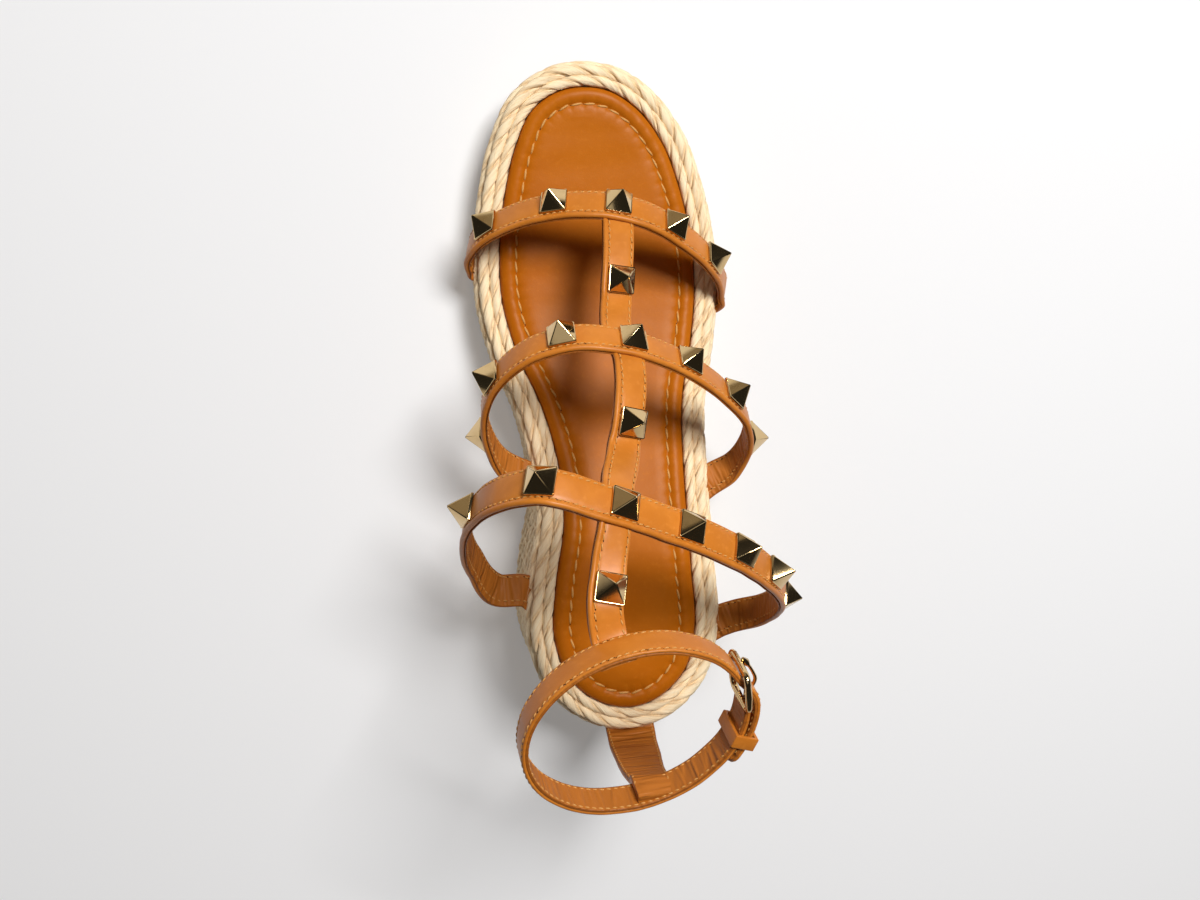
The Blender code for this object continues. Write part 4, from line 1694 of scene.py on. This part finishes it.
@dataclass
class Studs:
    """Polished square pyramids on a low plinth."""

    side: float = 10.3
    height: float = 7.5
    plinth: float = 1.0
    ledge: float = 0.35
    ridge: float = 0.4
    corner: float = 0.7
    rim: float = 0.22
    tip_radius: float = 0.45
    tip_rise: float = 0.12
    shift: float = -1.1

    def seat(self, path: SmoothPath, distance: float, shift: float) -> Matrix:
        """Where a stud's base lies, just off the band's face.

        Args:
            path: the band's path.
            distance: how far along it.
            shift: how far across it.

        Returns:
            The placing in metres.
        """
        reach = self.side / 2
        held = stations_on(path, np.array([distance]))
        near = stations_on(path, distance + np.linspace(-reach, reach, 9))
        lift = 0.0
        for across in (-reach, 0.0, reach):
            off = near.point + near.width * across - held.point[0]
            lift = max(lift, float((off @ held.out[0]).max()))
        point = held.point[0] + held.width[0] * shift + held.out[0] * (lift + GAP)
        return frame_matrix(point, held.along[0], held.out[0])

    def body(self) -> bmesh.types.BMesh:
        """One stud, its base on z = 0.

        Returns:
            The bmesh in metres.
        """
        body = bmesh.new()
        bmesh.ops.create_cube(body, size=1.0)
        bmesh.ops.scale(body, vec=(self.side * MM, self.side * MM, self.plinth * MM), verts=body.verts)
        bmesh.ops.translate(body, vec=(0.0, 0.0, self.plinth / 2 * MM), verts=body.verts)
        corners = [edge for edge in body.edges if abs(edge.verts[0].co.z - edge.verts[1].co.z) > 1e-5]
        self.soften(body, corners, self.corner, 3)
        top = max(body.faces, key=lambda face: face.calc_center_median().z)
        self.soften(body, list(top.edges), self.rim, 2)
        top = max(body.faces, key=lambda face: face.calc_center_median().z)
        bmesh.ops.delete(body, geom=[top], context="FACES")
        half = self.side / 2 - self.ledge
        spire = bmesh.ops.create_cone(
            body,
            cap_ends=False,
            segments=4,
            radius1=half * math.sqrt(2.0) * MM,
            radius2=self.tip_radius * MM,
            depth=(self.height - self.plinth) * MM,
            matrix=Matrix.Translation((0.0, 0.0, (self.height + self.plinth) / 2 * MM))
            @ Matrix.Rotation(math.pi / 4, 4, "Z"),
        )["verts"]
        ridges = {
            edge
            for vert in spire
            for edge in vert.link_edges
            if abs(edge.verts[0].co.z - edge.verts[1].co.z) > self.height / 2 * MM
        }
        self.soften(body, list(ridges), self.ridge, 3)
        rims = [edge for edge in body.edges if edge.is_boundary]
        tip = [edge for edge in rims if edge.verts[0].co.z > self.height / 2 * MM]
        foot = [edge for edge in rims if edge.verts[0].co.z < self.height / 2 * MM]
        bmesh.ops.bridge_loops(body, edges=foot)
        filled = bmesh.ops.edgeloop_fill(body, edges=tip)["faces"]
        bmesh.ops.poke(body, faces=filled, offset=self.tip_rise * MM)
        bmesh.ops.recalc_face_normals(body, faces=body.faces)
        return body

    @staticmethod
    def soften(body: bmesh.types.BMesh, edges: list[Any], width: float, segments: int) -> None:
        """Round some edges."""
        bmesh.ops.bevel(
            body,
            geom=edges,
            offset=width * MM,
            affect="EDGES",
            segments=segments,
            profile=0.5,
            material=-1,
        )

    def build(self, finishes: Finishes) -> None:
        """Make every stud in place of its plain node."""
        places = []
        for form in CROSS_STRAPS:
            path = form.path()
            for number, place in enumerate(form.stud_places(path.length)):
                seat = self.seat(path, place, self.shift)
                places.append((f"stud_{form.name}_{number + 1}", seat))
        bar = BarForm()
        path = bar.path()
        for number, row in enumerate(bar.middles):
            seat = self.seat(path, path.nearest((row.x, row.y, row.z)), self.shift)
            places.append((f"stud_bar_{number + 1}", seat))
        for node, seat in places:
            body = self.body()
            bmesh.ops.transform(body, matrix=seat, verts=body.verts)
            stud = write_object(f"polished_{node}", body, 24.0)
            finish_piece(stud, finishes.gold, [node])


# ---------------------------------------------------------------------------
# The sole
# ---------------------------------------------------------------------------


@dataclass
class Footbed:
    """A padded insole with a round rim outside a sunk, puckered seam."""

    steps: int = 720
    across: int = 30
    seam_inset: float = 6.6
    seam_depth: float = 0.6
    seam_reach: float = 1.6
    pucker: float = 0.3
    pucker_length: float = 0.85
    pull_middle: float = 0.25
    spin_jitter: float = 0.06
    pucker_width: float = 1.9
    pillow_inset: float = 3.4
    pillow_width: float = 2.2
    pillow_relief: float = 0.07
    fine_wavelength: float = 4.2
    slow_relief: float = 0.12
    slow_wavelength: float = 26.0
    calm_reach: float = 14.0
    side_drop: float = 2.0
    dish: float = 1.1
    bowl_power: float = 1.2
    heel_y: float = -132.0
    heel_reach: float = 26.0
    ball_y: float = 12.0
    ball_reach: float = 34.0
    end_reach: float = 24.0
    section: tuple[RimRow, ...] = (
        RimRow(0.9, 8.9),
        RimRow(0.35, 8.7),
        RimRow(0.0, 8.1),
        RimRow(-0.1, 5.0),
        RimRow(0.0, 2.6),
        RimRow(0.2, 1.75),
        RimRow(0.6, 1.0),
        RimRow(1.3, 0.4),
        RimRow(2.2, 0.0),
        RimRow(3.2, -0.2),
        RimRow(4.3, -0.2),
        RimRow(5.2, 0.02),
        RimRow(5.8, 0.32),
        RimRow(6.2, 0.62),
        RimRow(6.6, 0.8),
        RimRow(7.0, 0.66),
        RimRow(7.6, 0.42),
        RimRow(8.5, 0.22),
        RimRow(9.8, 0.1),
        RimRow(11.4, 0.05),
    )
    stitch: StitchKind = StitchKind(
        pitch=5.3, length=4.8, radius=0.46, slant=0.12, pit=0.3, ring_count=7, sides=8
    )

    def seam_travel(self, outline: Outline) -> Array:
        """How far each outline point is round the seam, scaled to a whole number of stitches."""
        plan = outline.moved(-self.seam_inset)
        run = np.linalg.norm(np.roll(plan, -1, axis=0) - plan, axis=1)
        travel = np.concatenate([[0.0], np.cumsum(run)])
        count = round(travel[-1] / self.stitch.pitch)
        return travel * (count * self.stitch.pitch / travel[-1])

    def pad(self) -> bpy.types.Object:
        """The pad itself.

        Returns:
            Its object.
        """
        outline = Outline(self.steps)
        travel = self.seam_travel(outline)[:-1]
        hole = (travel / self.stitch.pitch + 0.5) % 1.0 - 0.5
        pull = np.exp(-((hole * self.stitch.pitch / self.pucker_length) ** 2)) - self.pull_middle
        fine, slow = Waves(5, self.fine_wavelength), Waves(6, self.slow_wavelength)
        calm = smoothstep(np.minimum(travel, travel[-1] - travel) / self.calm_reach)
        rings = []
        for row in self.section:
            near = math.exp(-(((row.inset - self.seam_inset) / self.pucker_width) ** 2))
            pillow = math.exp(-(((row.inset - self.pillow_inset) / self.pillow_width) ** 2))
            uneven = self.pillow_relief * pillow * fine(travel, row.inset) + self.slow_relief * slow(travel)
            sink = self.pucker * near * pull + calm * uneven
            if row.drop > self.side_drop:
                sink = np.zeros_like(travel)
            ring = outline.ring(-row.inset, lambda y, row=row: SOLE.footbed_height(y) - row.drop)
            ring[:, 2] -= sink
            rings.append(ring)
        return outline_body("padded_footbed", np.array(rings), self.across, self.hollow)

    def hollow(self, rows: Array) -> Array:
        """Sink the middle of the pad a little, more under the heel and the ball."""
        shaped = rows.copy()
        width = np.linspace(-1.0, 1.0, rows.shape[1])[None, :]
        bowl = (1.0 - width**2) ** self.bowl_power
        y = rows[:, :, 1]
        heel = np.exp(-(((y - self.heel_y) / self.heel_reach) ** 2))
        ball = np.exp(-(((y - self.ball_y) / self.ball_reach) ** 2))
        from_end = np.minimum(rows[:1, :, 1] - y, y - rows[-1:, :, 1])
        ends = smoothstep(from_end / self.end_reach)
        shaped[:, :, 2] -= self.dish * bowl * ends * (0.45 + 0.9 * heel + 0.55 * ball)
        return shaped

    def stitches(self) -> bpy.types.Object:
        """The thread in the seam.

        Returns:
            Its object.
        """
        outline = Outline(self.steps)
        travel = self.seam_travel(outline)
        plan = outline.ring(-self.seam_inset, lambda y: SOLE.footbed_height(y) - self.seam_depth)
        plan = np.vstack([plan, plan[:1]])
        chosen = random.Random(8)
        frames = []
        for i in range(int(round(travel[-1] / self.stitch.pitch))):
            middle = (i + 0.5) * self.stitch.pitch
            ends = [
                np.array([np.interp(middle + step, travel, plan[:, axis]) for axis in range(3)])
                for step in (-self.seam_reach, self.seam_reach)
            ]
            out = np.array([0.0, 0.0, 1.0])
            spin = self.stitch.slant + chosen.uniform(-self.spin_jitter, self.spin_jitter)
            frames.append(frame_matrix((ends[0] + ends[1]) / 2, ends[1] - ends[0], out, spin))
        return sew("footbed_stitches", self.stitch, frames)

    def build(self, finishes: Finishes) -> None:
        """Make the pad and its seam."""
        pad = finish_piece(self.pad(), finishes.footbed, ["footbed"])
        finish_piece(self.stitches(), finishes.thread)


@dataclass
class Line:
    """A line that ropes follow, with the ways out and up at each station."""

    point: Array
    out: Array
    up: Array
    closed: bool
    length: float
    travel: Array

    @classmethod
    def through(cls, points: Array, outward: Array, step: float, closed: bool) -> Line:
        """Read a line at even steps.

        Args:
            points: places along it.
            outward: the level way out at each.
            step: about how far apart the stations are.
            closed: whether it joins itself.

        Returns:
            The line.
        """
        if closed:
            points, outward = np.vstack([points, points[:1]]), np.vstack([outward, outward[:1]])
        run = np.concatenate([[0.0], np.cumsum(np.linalg.norm(np.diff(points, axis=0), axis=1))])
        count = max(int(run[-1] / step), 3)
        even = np.linspace(0.0, run[-1], count + 1)
        even = even[:-1] if closed else even
        held = np.column_stack([np.interp(even, run, points[:, axis]) for axis in range(3)])
        level = np.column_stack([np.interp(even, run, outward[:, axis]) for axis in range(2)])
        out = unit(np.column_stack([level, np.zeros(len(level))]))
        up = np.broadcast_to(np.array([0.0, 0.0, 1.0]), out.shape)
        return cls(held, out, up, closed, float(run[-1]), even)

    def part(self, stations: Array) -> Line:
        """Some of the line's stations, as an open line."""
        point, out, up = self.point[stations], self.out[stations], self.up[stations]
        return Line(point, out, up, False, self.length, self.travel[stations])


@dataclass(frozen=True)
class Braid:
    """Three flat strands plaited together, in section and in rhythm."""

    sway: float
    depth: float
    period: float
    half_width: float
    half_thickness: float
    sides: int
    furrows: int = 7
    furrow_depth: float = 0.045
    fine_depth: float = 0.03
    swelling: float = 0.05
    swell_wavelength: float = 22.0
    furrow_wavelength: float = 14.0
    seed: int = 3

    def strands(self, line: Line, size: Array) -> list[tuple[Array, Array]]:
        """Plait three strands along a line.

        Args:
            line: what they follow, with the braid's face turned outwards.
            size: each station's share of full size.

        Returns:
            For each strand, its rings and their painted-shade marks.
        """
        periods = max(round(line.length / self.period), 1)
        phase = TURN * periods * line.travel / line.length
        made = []
        for number in range(3):
            t = phase + number * TURN / 3
            sway = self.sway * np.sin(t) * size
            rise = self.depth * np.sin(2 * t) * size
            centre = line.point + line.up * sway[:, None] + line.out * rise[:, None]
            made.append(self.strand(line, centre, size, number))
        return made

    def strand(self, line: Line, centre: Array, size: Array, number: int) -> tuple[Array, Array]:
        """One strand's rings round its own middle line, and their painted-shade marks."""
        if line.closed:
            along = unit(np.roll(centre, -1, axis=0) - np.roll(centre, 1, axis=0))
        else:
            along = unit(np.gradient(centre, axis=0))
        normal = unit(line.out - along * np.sum(line.out * along, axis=1, keepdims=True))
        side = np.cross(along, normal)
        turns = np.linspace(0.0, TURN, self.sides, endpoint=False)[None, :]
        travel = line.travel[:, None]
        wander = Waves(self.seed + number, self.furrow_wavelength)
        swell = 1.0 + self.swelling * Waves(self.seed + 9 + number, self.swell_wavelength)(travel)
        ribs = self.furrow_depth * np.cos(self.furrows * turns + 0.5 * wander(travel))
        ribs = ribs + self.fine_depth * np.cos((self.furrows + 4) * turns + 1.7 + wander(travel + 30.0))
        reach = (1.0 + ribs) * size[:, None] * (swell if not line.closed else 1.0)
        across = self.half_width * np.cos(turns) * reach
        out = self.half_thickness * np.sin(turns) * reach
        rings = Stations(centre, along, side, normal).place(across, out)
        return rings, painted_cleft_shade_marks(turns, len(centre))


def painted_cleft_shade_marks(turns: Array, stations: int) -> Array:
    """Mark a strand's two sides, where it lies against its neighbours, for painted shade."""
    aside = smoothstep((np.abs(np.cos(turns)) - PAINTED_SHADE_STARTS) / (1.0 - PAINTED_SHADE_STARTS))
    return np.broadcast_to(aside, (stations, turns.shape[-1])).copy()


@dataclass(frozen=True)
class TwistedCord:
    """Two soft plies laid round each other, placed in the rope's own section."""

    out: float
    up: float
    helix: float
    half_width: float
    half_thickness: float
    phase: float
    sides: int = 20
    slow_wander: float = 0.22
    slow_count: int = 5
    quick_wander: float = 0.16
    quick_count: int = 13
    furrows: int = 6
    furrow_depth: float = 0.05
    fine_furrows: int = 9
    fine_depth: float = 0.035
    drift_count: int = 9
    swelling: float = 0.06
    swell_count: int = 23

    def middle(self, line: Line, angle: Array, radius: Any) -> tuple[Array, Array]:
        """Points round the cord's own middle line.

        Args:
            line: what the rope follows.
            angle: the angle at each station, from outwards to upwards.
            radius: how far from the cord's middle.

        Returns:
            The points and the ways out from the cord's middle.
        """
        away = line.out * np.cos(angle)[:, None] + line.up * np.sin(angle)[:, None]
        hub = line.point + line.out * self.out + line.up * self.up
        return hub + away * np.broadcast_to(radius, angle.shape)[:, None], away

    def plies(self, line: Line, turns: int, seed: int) -> list[tuple[Array, Array]]:
        """The cord's two plies.

        Args:
            line: what the rope follows.
            turns: how many times the plies turn on the way round.
            seed: fixes their unevenness.

        Returns:
            For each ply, its rings and their painted-shade marks.
        """
        made = []
        round_it = TURN * line.travel / line.length
        for number in range(2):
            wander = self.slow_wander * np.sin(self.slow_count * round_it + seed + number)
            wander = wander + self.quick_wander * np.sin(self.quick_count * round_it + 2 * seed)
            angle = turns * round_it + wander + math.pi * (number + 2 * self.phase)
            centre, away = self.middle(line, angle, self.helix)
            along = unit(np.roll(centre, -1, axis=0) - np.roll(centre, 1, axis=0))
            normal = unit(away - along * np.sum(away * along, axis=1, keepdims=True))
            side = np.cross(along, normal)
            around = np.linspace(0.0, TURN, self.sides, endpoint=False)[None, :]
            drift = np.sin(self.drift_count * round_it + seed + 2 * number)[:, None]
            ribs = self.furrow_depth * np.cos(self.furrows * around + 1.4 * drift)
            ribs = ribs + self.fine_depth * np.cos(self.fine_furrows * around + 1.7 - 2.0 * drift)
            swell = self.swelling * np.sin(self.swell_count * round_it + 3 * seed + number)
            swell = 1.0 + swell[:, None]
            across = self.half_width * np.cos(around) * (swell + ribs)
            out = self.half_thickness * np.sin(around) * (1.0 + ribs)
            rings = Stations(centre, along, side, normal).place(across, out)
            made.append((rings, painted_cleft_shade_marks(around, len(centre))))
        return made


@dataclass
class TopPlait:
    """The thick rope laid round the footbed: four cords side by side, and the fibres come free."""

    cords: tuple[TwistedCord, ...] = (
        TwistedCord(out=1.6, up=2.0, helix=1.12, half_width=1.9, half_thickness=1.22, phase=0.0),
        TwistedCord(out=-2.55, up=2.25, helix=1.02, half_width=1.75, half_thickness=1.12, phase=0.25),
        TwistedCord(out=3.5, up=-2.0, helix=1.12, half_width=1.9, half_thickness=1.2, phase=0.4),
        TwistedCord(out=-0.9, up=-2.0, helix=1.12, half_width=1.9, half_thickness=1.2, phase=0.1),
    )
    period: float = 22.0
    step: float = 1.3
    fibres: int = 320
    fibre_radius: float = 0.055
    fibre_cords: tuple[int, ...] = (0, 0, 1, 1, 2)
    fibre_bedding: float = 0.12
    fibre_stations: tuple[int, int] = (9, 15)
    fibre_band: tuple[float, float] = (0.1, 0.85)
    fibre_sweep: tuple[float, float] = (-0.3, 1.5)
    fibre_lift: tuple[float, float] = (0.12, 0.42)
    outline_steps: int = 720

    def line(self) -> Line:
        """The rope's middle line."""
        outline = Outline(self.outline_steps)
        radius = SOLE.plait_thickness / 2
        ring = outline.ring(GAP + radius, lambda y: SOLE.footbed_height(y) - radius)
        return Line.through(ring, outline.outward, self.step, True)

    def loose_fibres(self, line: Line) -> list[Array]:
        """Fine fibres that have come free and lie in low curves over the plies."""
        chosen = random.Random(31)
        made = []
        for _ in range(self.fibres):
            cord = self.cords[chosen.choice(self.fibre_cords)]
            count = chosen.randint(*self.fibre_stations)
            start = chosen.randrange(len(line.travel))
            held = (start + np.arange(count)) % len(line.travel)
            share = np.linspace(0.0, 1.0, count)
            top = chosen.uniform(*self.fibre_band) * math.pi
            sweep = chosen.uniform(*self.fibre_sweep)
            angle = top + sweep * (share - 0.5) + 0.2 * np.sin(share * 6.0 + top)
            reach = cord.helix + cord.half_thickness - self.fibre_bedding
            lift = chosen.uniform(*self.fibre_lift) * np.sin(math.pi * share)
            points, away = cord.middle(line.part(held), angle, reach + lift)
            along = unit(np.gradient(points, axis=0))
            side = np.cross(along, away)
            taper = self.fibre_radius * (0.35 + 0.65 * np.sin(math.pi * np.clip(share, 0.08, 0.92)))
            rings = []
            for corner in range(3):
                turn = corner * TURN / 3
                rings.append(points + (side * math.cos(turn) + away * math.sin(turn)) * taper[:, None])
            made.append(np.stack(rings, axis=1))
        return made

    def build(self, finishes: Finishes) -> None:
        """Make the rope and its loose fibres."""
        line = self.line()
        turns = round(line.length / self.period)
        body = bmesh.new()
        for number, cord in enumerate(self.cords):
            for rings, marks in cord.plies(line, turns, 3 + 2 * number):
                skin(body, rings, Ends.JOINED, marks=marks)
        bmesh.ops.recalc_face_normals(body, faces=body.faces)
        rope = write_object("plaited_top_rope", body, ALL_SMOOTH)
        finish_piece(rope, finishes.jute, ["top_plait"])
        body = bmesh.new()
        for rings in self.loose_fibres(line):
            skin(body, rings, Ends.FILLED)
        bmesh.ops.recalc_face_normals(body, faces=body.faces)
        fibres = write_object("loose_rope_fibres", body, ALL_SMOOTH)
        finish_piece(fibres, finishes.jute, ["top_plait"])


@dataclass
class JuteWall:
    """The wedge: a plain core wound with level rows of plait, which end under the sloping shelf."""

    braid: Braid = Braid(sway=1.72, depth=0.9, period=20.0, half_width=1.85, half_thickness=1.1, sides=16)
    core_inset: float = 1.9
    step: float = 1.0
    least: float = 1.4
    core_levels: int = 9
    core_steps: int = 240
    core_across: int = 12
    row_steps: int = 720

    def core_height(self, share: float, y: Array) -> Array:
        """The height that lies a share of the way up the core."""
        bottom = SOLE.ground_lift(y) + (SOLE.outsole_thickness + GAP)
        return bottom + share * (SOLE.shelf_height(y) - bottom)

    def core_offset(self, share: float, y: Array) -> Array:
        """How far the core stands out at that height."""
        return SOLE.wall_offset(y, self.core_height(share, y)) - self.core_inset

    def core(self) -> bpy.types.Object:
        """The wedge behind the rows."""
        outline = Outline(self.core_steps)
        rings = [
            outline.ring(partial(self.core_offset, share), partial(self.core_height, share))
            for share in np.linspace(0.0, 1.0, self.core_levels)
        ]
        return outline_body("wedge_core", np.array(rings), self.core_across)

    def row(self, number: int) -> bpy.types.Object:
        """One row of plait.

        Args:
            number: the row, from the ground up.

        Returns:
            Its object.
        """
        outline = Outline(self.row_steps)
        y = outline.points[:, 1]
        low = SOLE.ground_lift(y) + SOLE.outsole_thickness + GAP + number * SOLE.row_pitch
        high = np.minimum(low + SOLE.row_pitch, SOLE.shelf_height(y))
        room = high - low
        middle = (low + high) / 2
        offset = SOLE.wall_offset(y, middle) + SOLE.row_bulge - self.braid.depth - self.braid.half_thickness
        ring = np.column_stack([outline.moved(offset), middle])
        kept = room > self.least
        closed = bool(kept.all())
        ring, outward, room = ring[kept], outline.outward[kept], room[kept]
        line = Line.through(ring, outward, self.step, closed)
        if closed:
            ring, room = np.vstack([ring, ring[:1]]), np.append(room, room[0])
        run = np.concatenate([[0.0], np.cumsum(np.linalg.norm(np.diff(ring, axis=0), axis=1))])
        size = np.clip(np.interp(line.travel, run, room) / SOLE.row_pitch, 0.0, 1.0)
        body = bmesh.new()
        for rings, marks in self.braid.strands(line, size):
            skin(body, rings, Ends.JOINED if closed else Ends.FILLED, marks=marks)
        bmesh.ops.recalc_face_normals(body, faces=body.faces)
        return write_object(f"plaited_row_{number + 1}", body, ALL_SMOOTH)

    def build(self, finishes: Finishes) -> None:
        """Make the core and its rows."""
        finish_piece(self.core(), finishes.jute, ["jute_wedge"])
        for number in range(SOLE.row_count):
            finish_piece(self.row(number), finishes.jute, ["jute_wedge"])


class SheetLevel(NamedTuple):
    """One level of the rubber's edge: how far in it lies, and how far up."""

    inset: float
    up: float


@dataclass
class Outsole:
    """The thin rubber sheet underneath."""

    inset: float = 1.0
    steps: int = 360
    across: int = 16
    levels: tuple[SheetLevel, ...] = (
        SheetLevel(0.8, 0.0),
        SheetLevel(0.3, 0.12),
        SheetLevel(0.08, 0.4),
        SheetLevel(0.0, 0.8),
        SheetLevel(0.0, 2.7),
        SheetLevel(0.1, 2.92),
        SheetLevel(0.35, 3.0),
    )

    def height(self, level: SheetLevel, y: Array) -> Array:
        """The height of a level of the sheet."""
        return SOLE.ground_lift(y) + level.up

    def offset(self, level: SheetLevel, y: Array) -> Array:
        """How far the sheet's edge stands out at a level."""
        return SOLE.wall_offset(y, np.full_like(y, SOLE.outsole_thickness)) - self.inset - level.inset

    def build(self, finishes: Finishes) -> None:
        """Make the sheet."""
        outline = Outline(self.steps)
        rings = [
            outline.ring(partial(self.offset, level), partial(self.height, level)) for level in self.levels
        ]
        piece = outline_body("rubber_outsole", np.array(rings), self.across)
        finish_piece(piece, finishes.rubber, ["outsole"])


# ---------------------------------------------------------------------------
# Buckle
# ---------------------------------------------------------------------------


@dataclass
class Buckle:
    """The wire frame, its tongue and the leather keeper, smoothed from the plain ones."""

    nodes: tuple[str, ...] = ("buckle_frame", "buckle_prong")
    sharp_turn: float = 0.6
    keeper_round: float = 0.3

    def build(self, finishes: Finishes) -> None:
        """Make the three pieces."""
        for node in self.nodes:
            body, name = copy_of_node(node, f"polished_{node}")
            bmesh.ops.subdivide_edges(
                body, edges=body.edges, cuts=1, smooth=1.0, use_grid_fill=True, use_only_quads=False
            )
            finish_piece(write_object(name, body, 60.0), finishes.gold, [node])
        body, name = copy_of_node("strap_keeper", "leather_keeper")
        sharp = [edge for edge in body.edges if edge.calc_face_angle(0.0) > self.sharp_turn]
        Studs.soften(body, sharp, self.keeper_round, 3)
        finish_piece(write_object(name, body, 60.0), finishes.band, ["strap_keeper"])


# ---------------------------------------------------------------------------
# Studio
# ---------------------------------------------------------------------------


@dataclass(frozen=True)
class SoftBox:
    """One area light."""

    name: str
    place: tuple[float, float, float]
    aim: tuple[float, float, float]
    size: tuple[float, float]
    power: float
    colour: Colour = (1.0, 1.0, 1.0)


@dataclass
class Studio:
    """A pale floor, soft light and the camera."""

    eye: tuple[float, float, float] = (-66.2, 3.4, 506.0)
    aim: tuple[float, float, float] = (-4.0, -62.0, 34.0)
    turn: float = -2.8
    lens: float = 35.0
    boxes: tuple[SoftBox, ...] = (
        SoftBox("overhead", (-180.0, -140.0, 1300.0), (-20.0, -40.0, 30.0), (700.0, 700.0), 0.8),
        SoftBox("key", (335.0, 470.0, 1200.0), (0.0, -40.0, 40.0), (440.0, 440.0), 21.2),
        SoftBox(
            "toe_card", (-460.0, 1420.0, 470.0), (0.0, -40.0, 60.0), (2100.0, 950.0), 1.9, (1.0, 0.86, 0.66)
        ),
    )
    room_glow: float = 0.025
    backdrop: float = 0.9
    floor_reach: float = 4.0

    def floor(self) -> None:
        """Lay the floor."""
        body = bmesh.new()
        bmesh.ops.create_grid(body, x_segments=8, y_segments=8, size=self.floor_reach)
        floor = write_object("plain_floor", body)
        floor.data.materials.append(Paper().build())

    def lights(self) -> None:
        """Hang the soft boxes and light the room."""
        for box in self.boxes:
            lamp = bpy.data.lights.new(box.name, "AREA")
            lamp.shape = "RECTANGLE"
            lamp.size, lamp.size_y = box.size[0] * MM, box.size[1] * MM
            lamp.energy = box.power
            lamp.color = box.colour
            held = bpy.data.objects.new(box.name, lamp)
            held.location = Vector(box.place) * MM
            away = (Vector(box.place) - Vector(box.aim)).normalized()
            held.rotation_euler = away.to_track_quat("Z", "Y").to_euler()
            bpy.context.scene.collection.objects.link(held)
        world = bpy.data.worlds.new("room")
        world.use_nodes = True
        tree = world.node_tree
        glow = tree.nodes["Background"]
        seen = tree.nodes.new("ShaderNodeBackground")
        seen.inputs["Strength"].default_value = self.backdrop
        glow.inputs["Strength"].default_value = self.room_glow
        for sky in (glow, seen):
            sky.inputs["Color"].default_value = (1.0, 1.0, 1.0, 1.0)
        rays = tree.nodes.new("ShaderNodeLightPath")
        choice = tree.nodes.new("ShaderNodeMixShader")
        tree.links.new(rays.outputs["Is Camera Ray"], choice.inputs[0])
        tree.links.new(glow.outputs[0], choice.inputs[1])
        tree.links.new(seen.outputs[0], choice.inputs[2])
        tree.links.new(choice.outputs[0], tree.nodes["World Output"].inputs["Surface"])
        bpy.context.scene.world = world

    def camera(self) -> None:
        """Stand the camera over the shoe, toe to the top."""
        eye, aim = Vector(self.eye) * MM, Vector(self.aim) * MM
        turn = math.radians(self.turn)
        toeward = Vector((-math.sin(turn), math.cos(turn), 0.0))
        ahead = (aim - eye).normalized()
        right = ahead.cross(toeward).normalized()
        up = right.cross(ahead)
        lens = bpy.data.cameras.new("view")
        lens.lens = self.lens
        lens.clip_start, lens.clip_end = 0.01, 20.0
        view = bpy.data.objects.new("view", lens)
        view.matrix_world = Matrix.Translation(eye) @ Matrix((right, up, -ahead)).transposed().to_4x4()
        bpy.context.scene.collection.objects.link(view)
        bpy.context.scene.camera = view

    def build(self) -> None:
        """Set everything up."""
        self.floor()
        self.lights()
        self.camera()
        bpy.context.scene.view_settings.view_transform = "Standard"


def main() -> None:
    """Build the shoe and its studio."""
    logging.basicConfig(level=logging.INFO, format="%(name)s: %(message)s")
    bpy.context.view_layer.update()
    finishes = Finishes()
    Outsole().build(finishes)
    JuteWall().build(finishes)
    TopPlait().build(finishes)
    Footbed().build(finishes)
    Cage().build(finishes)
    Studs().build(finishes)
    Buckle().build(finishes)
    Studio().build()


if __name__ == "__main__":
    main()
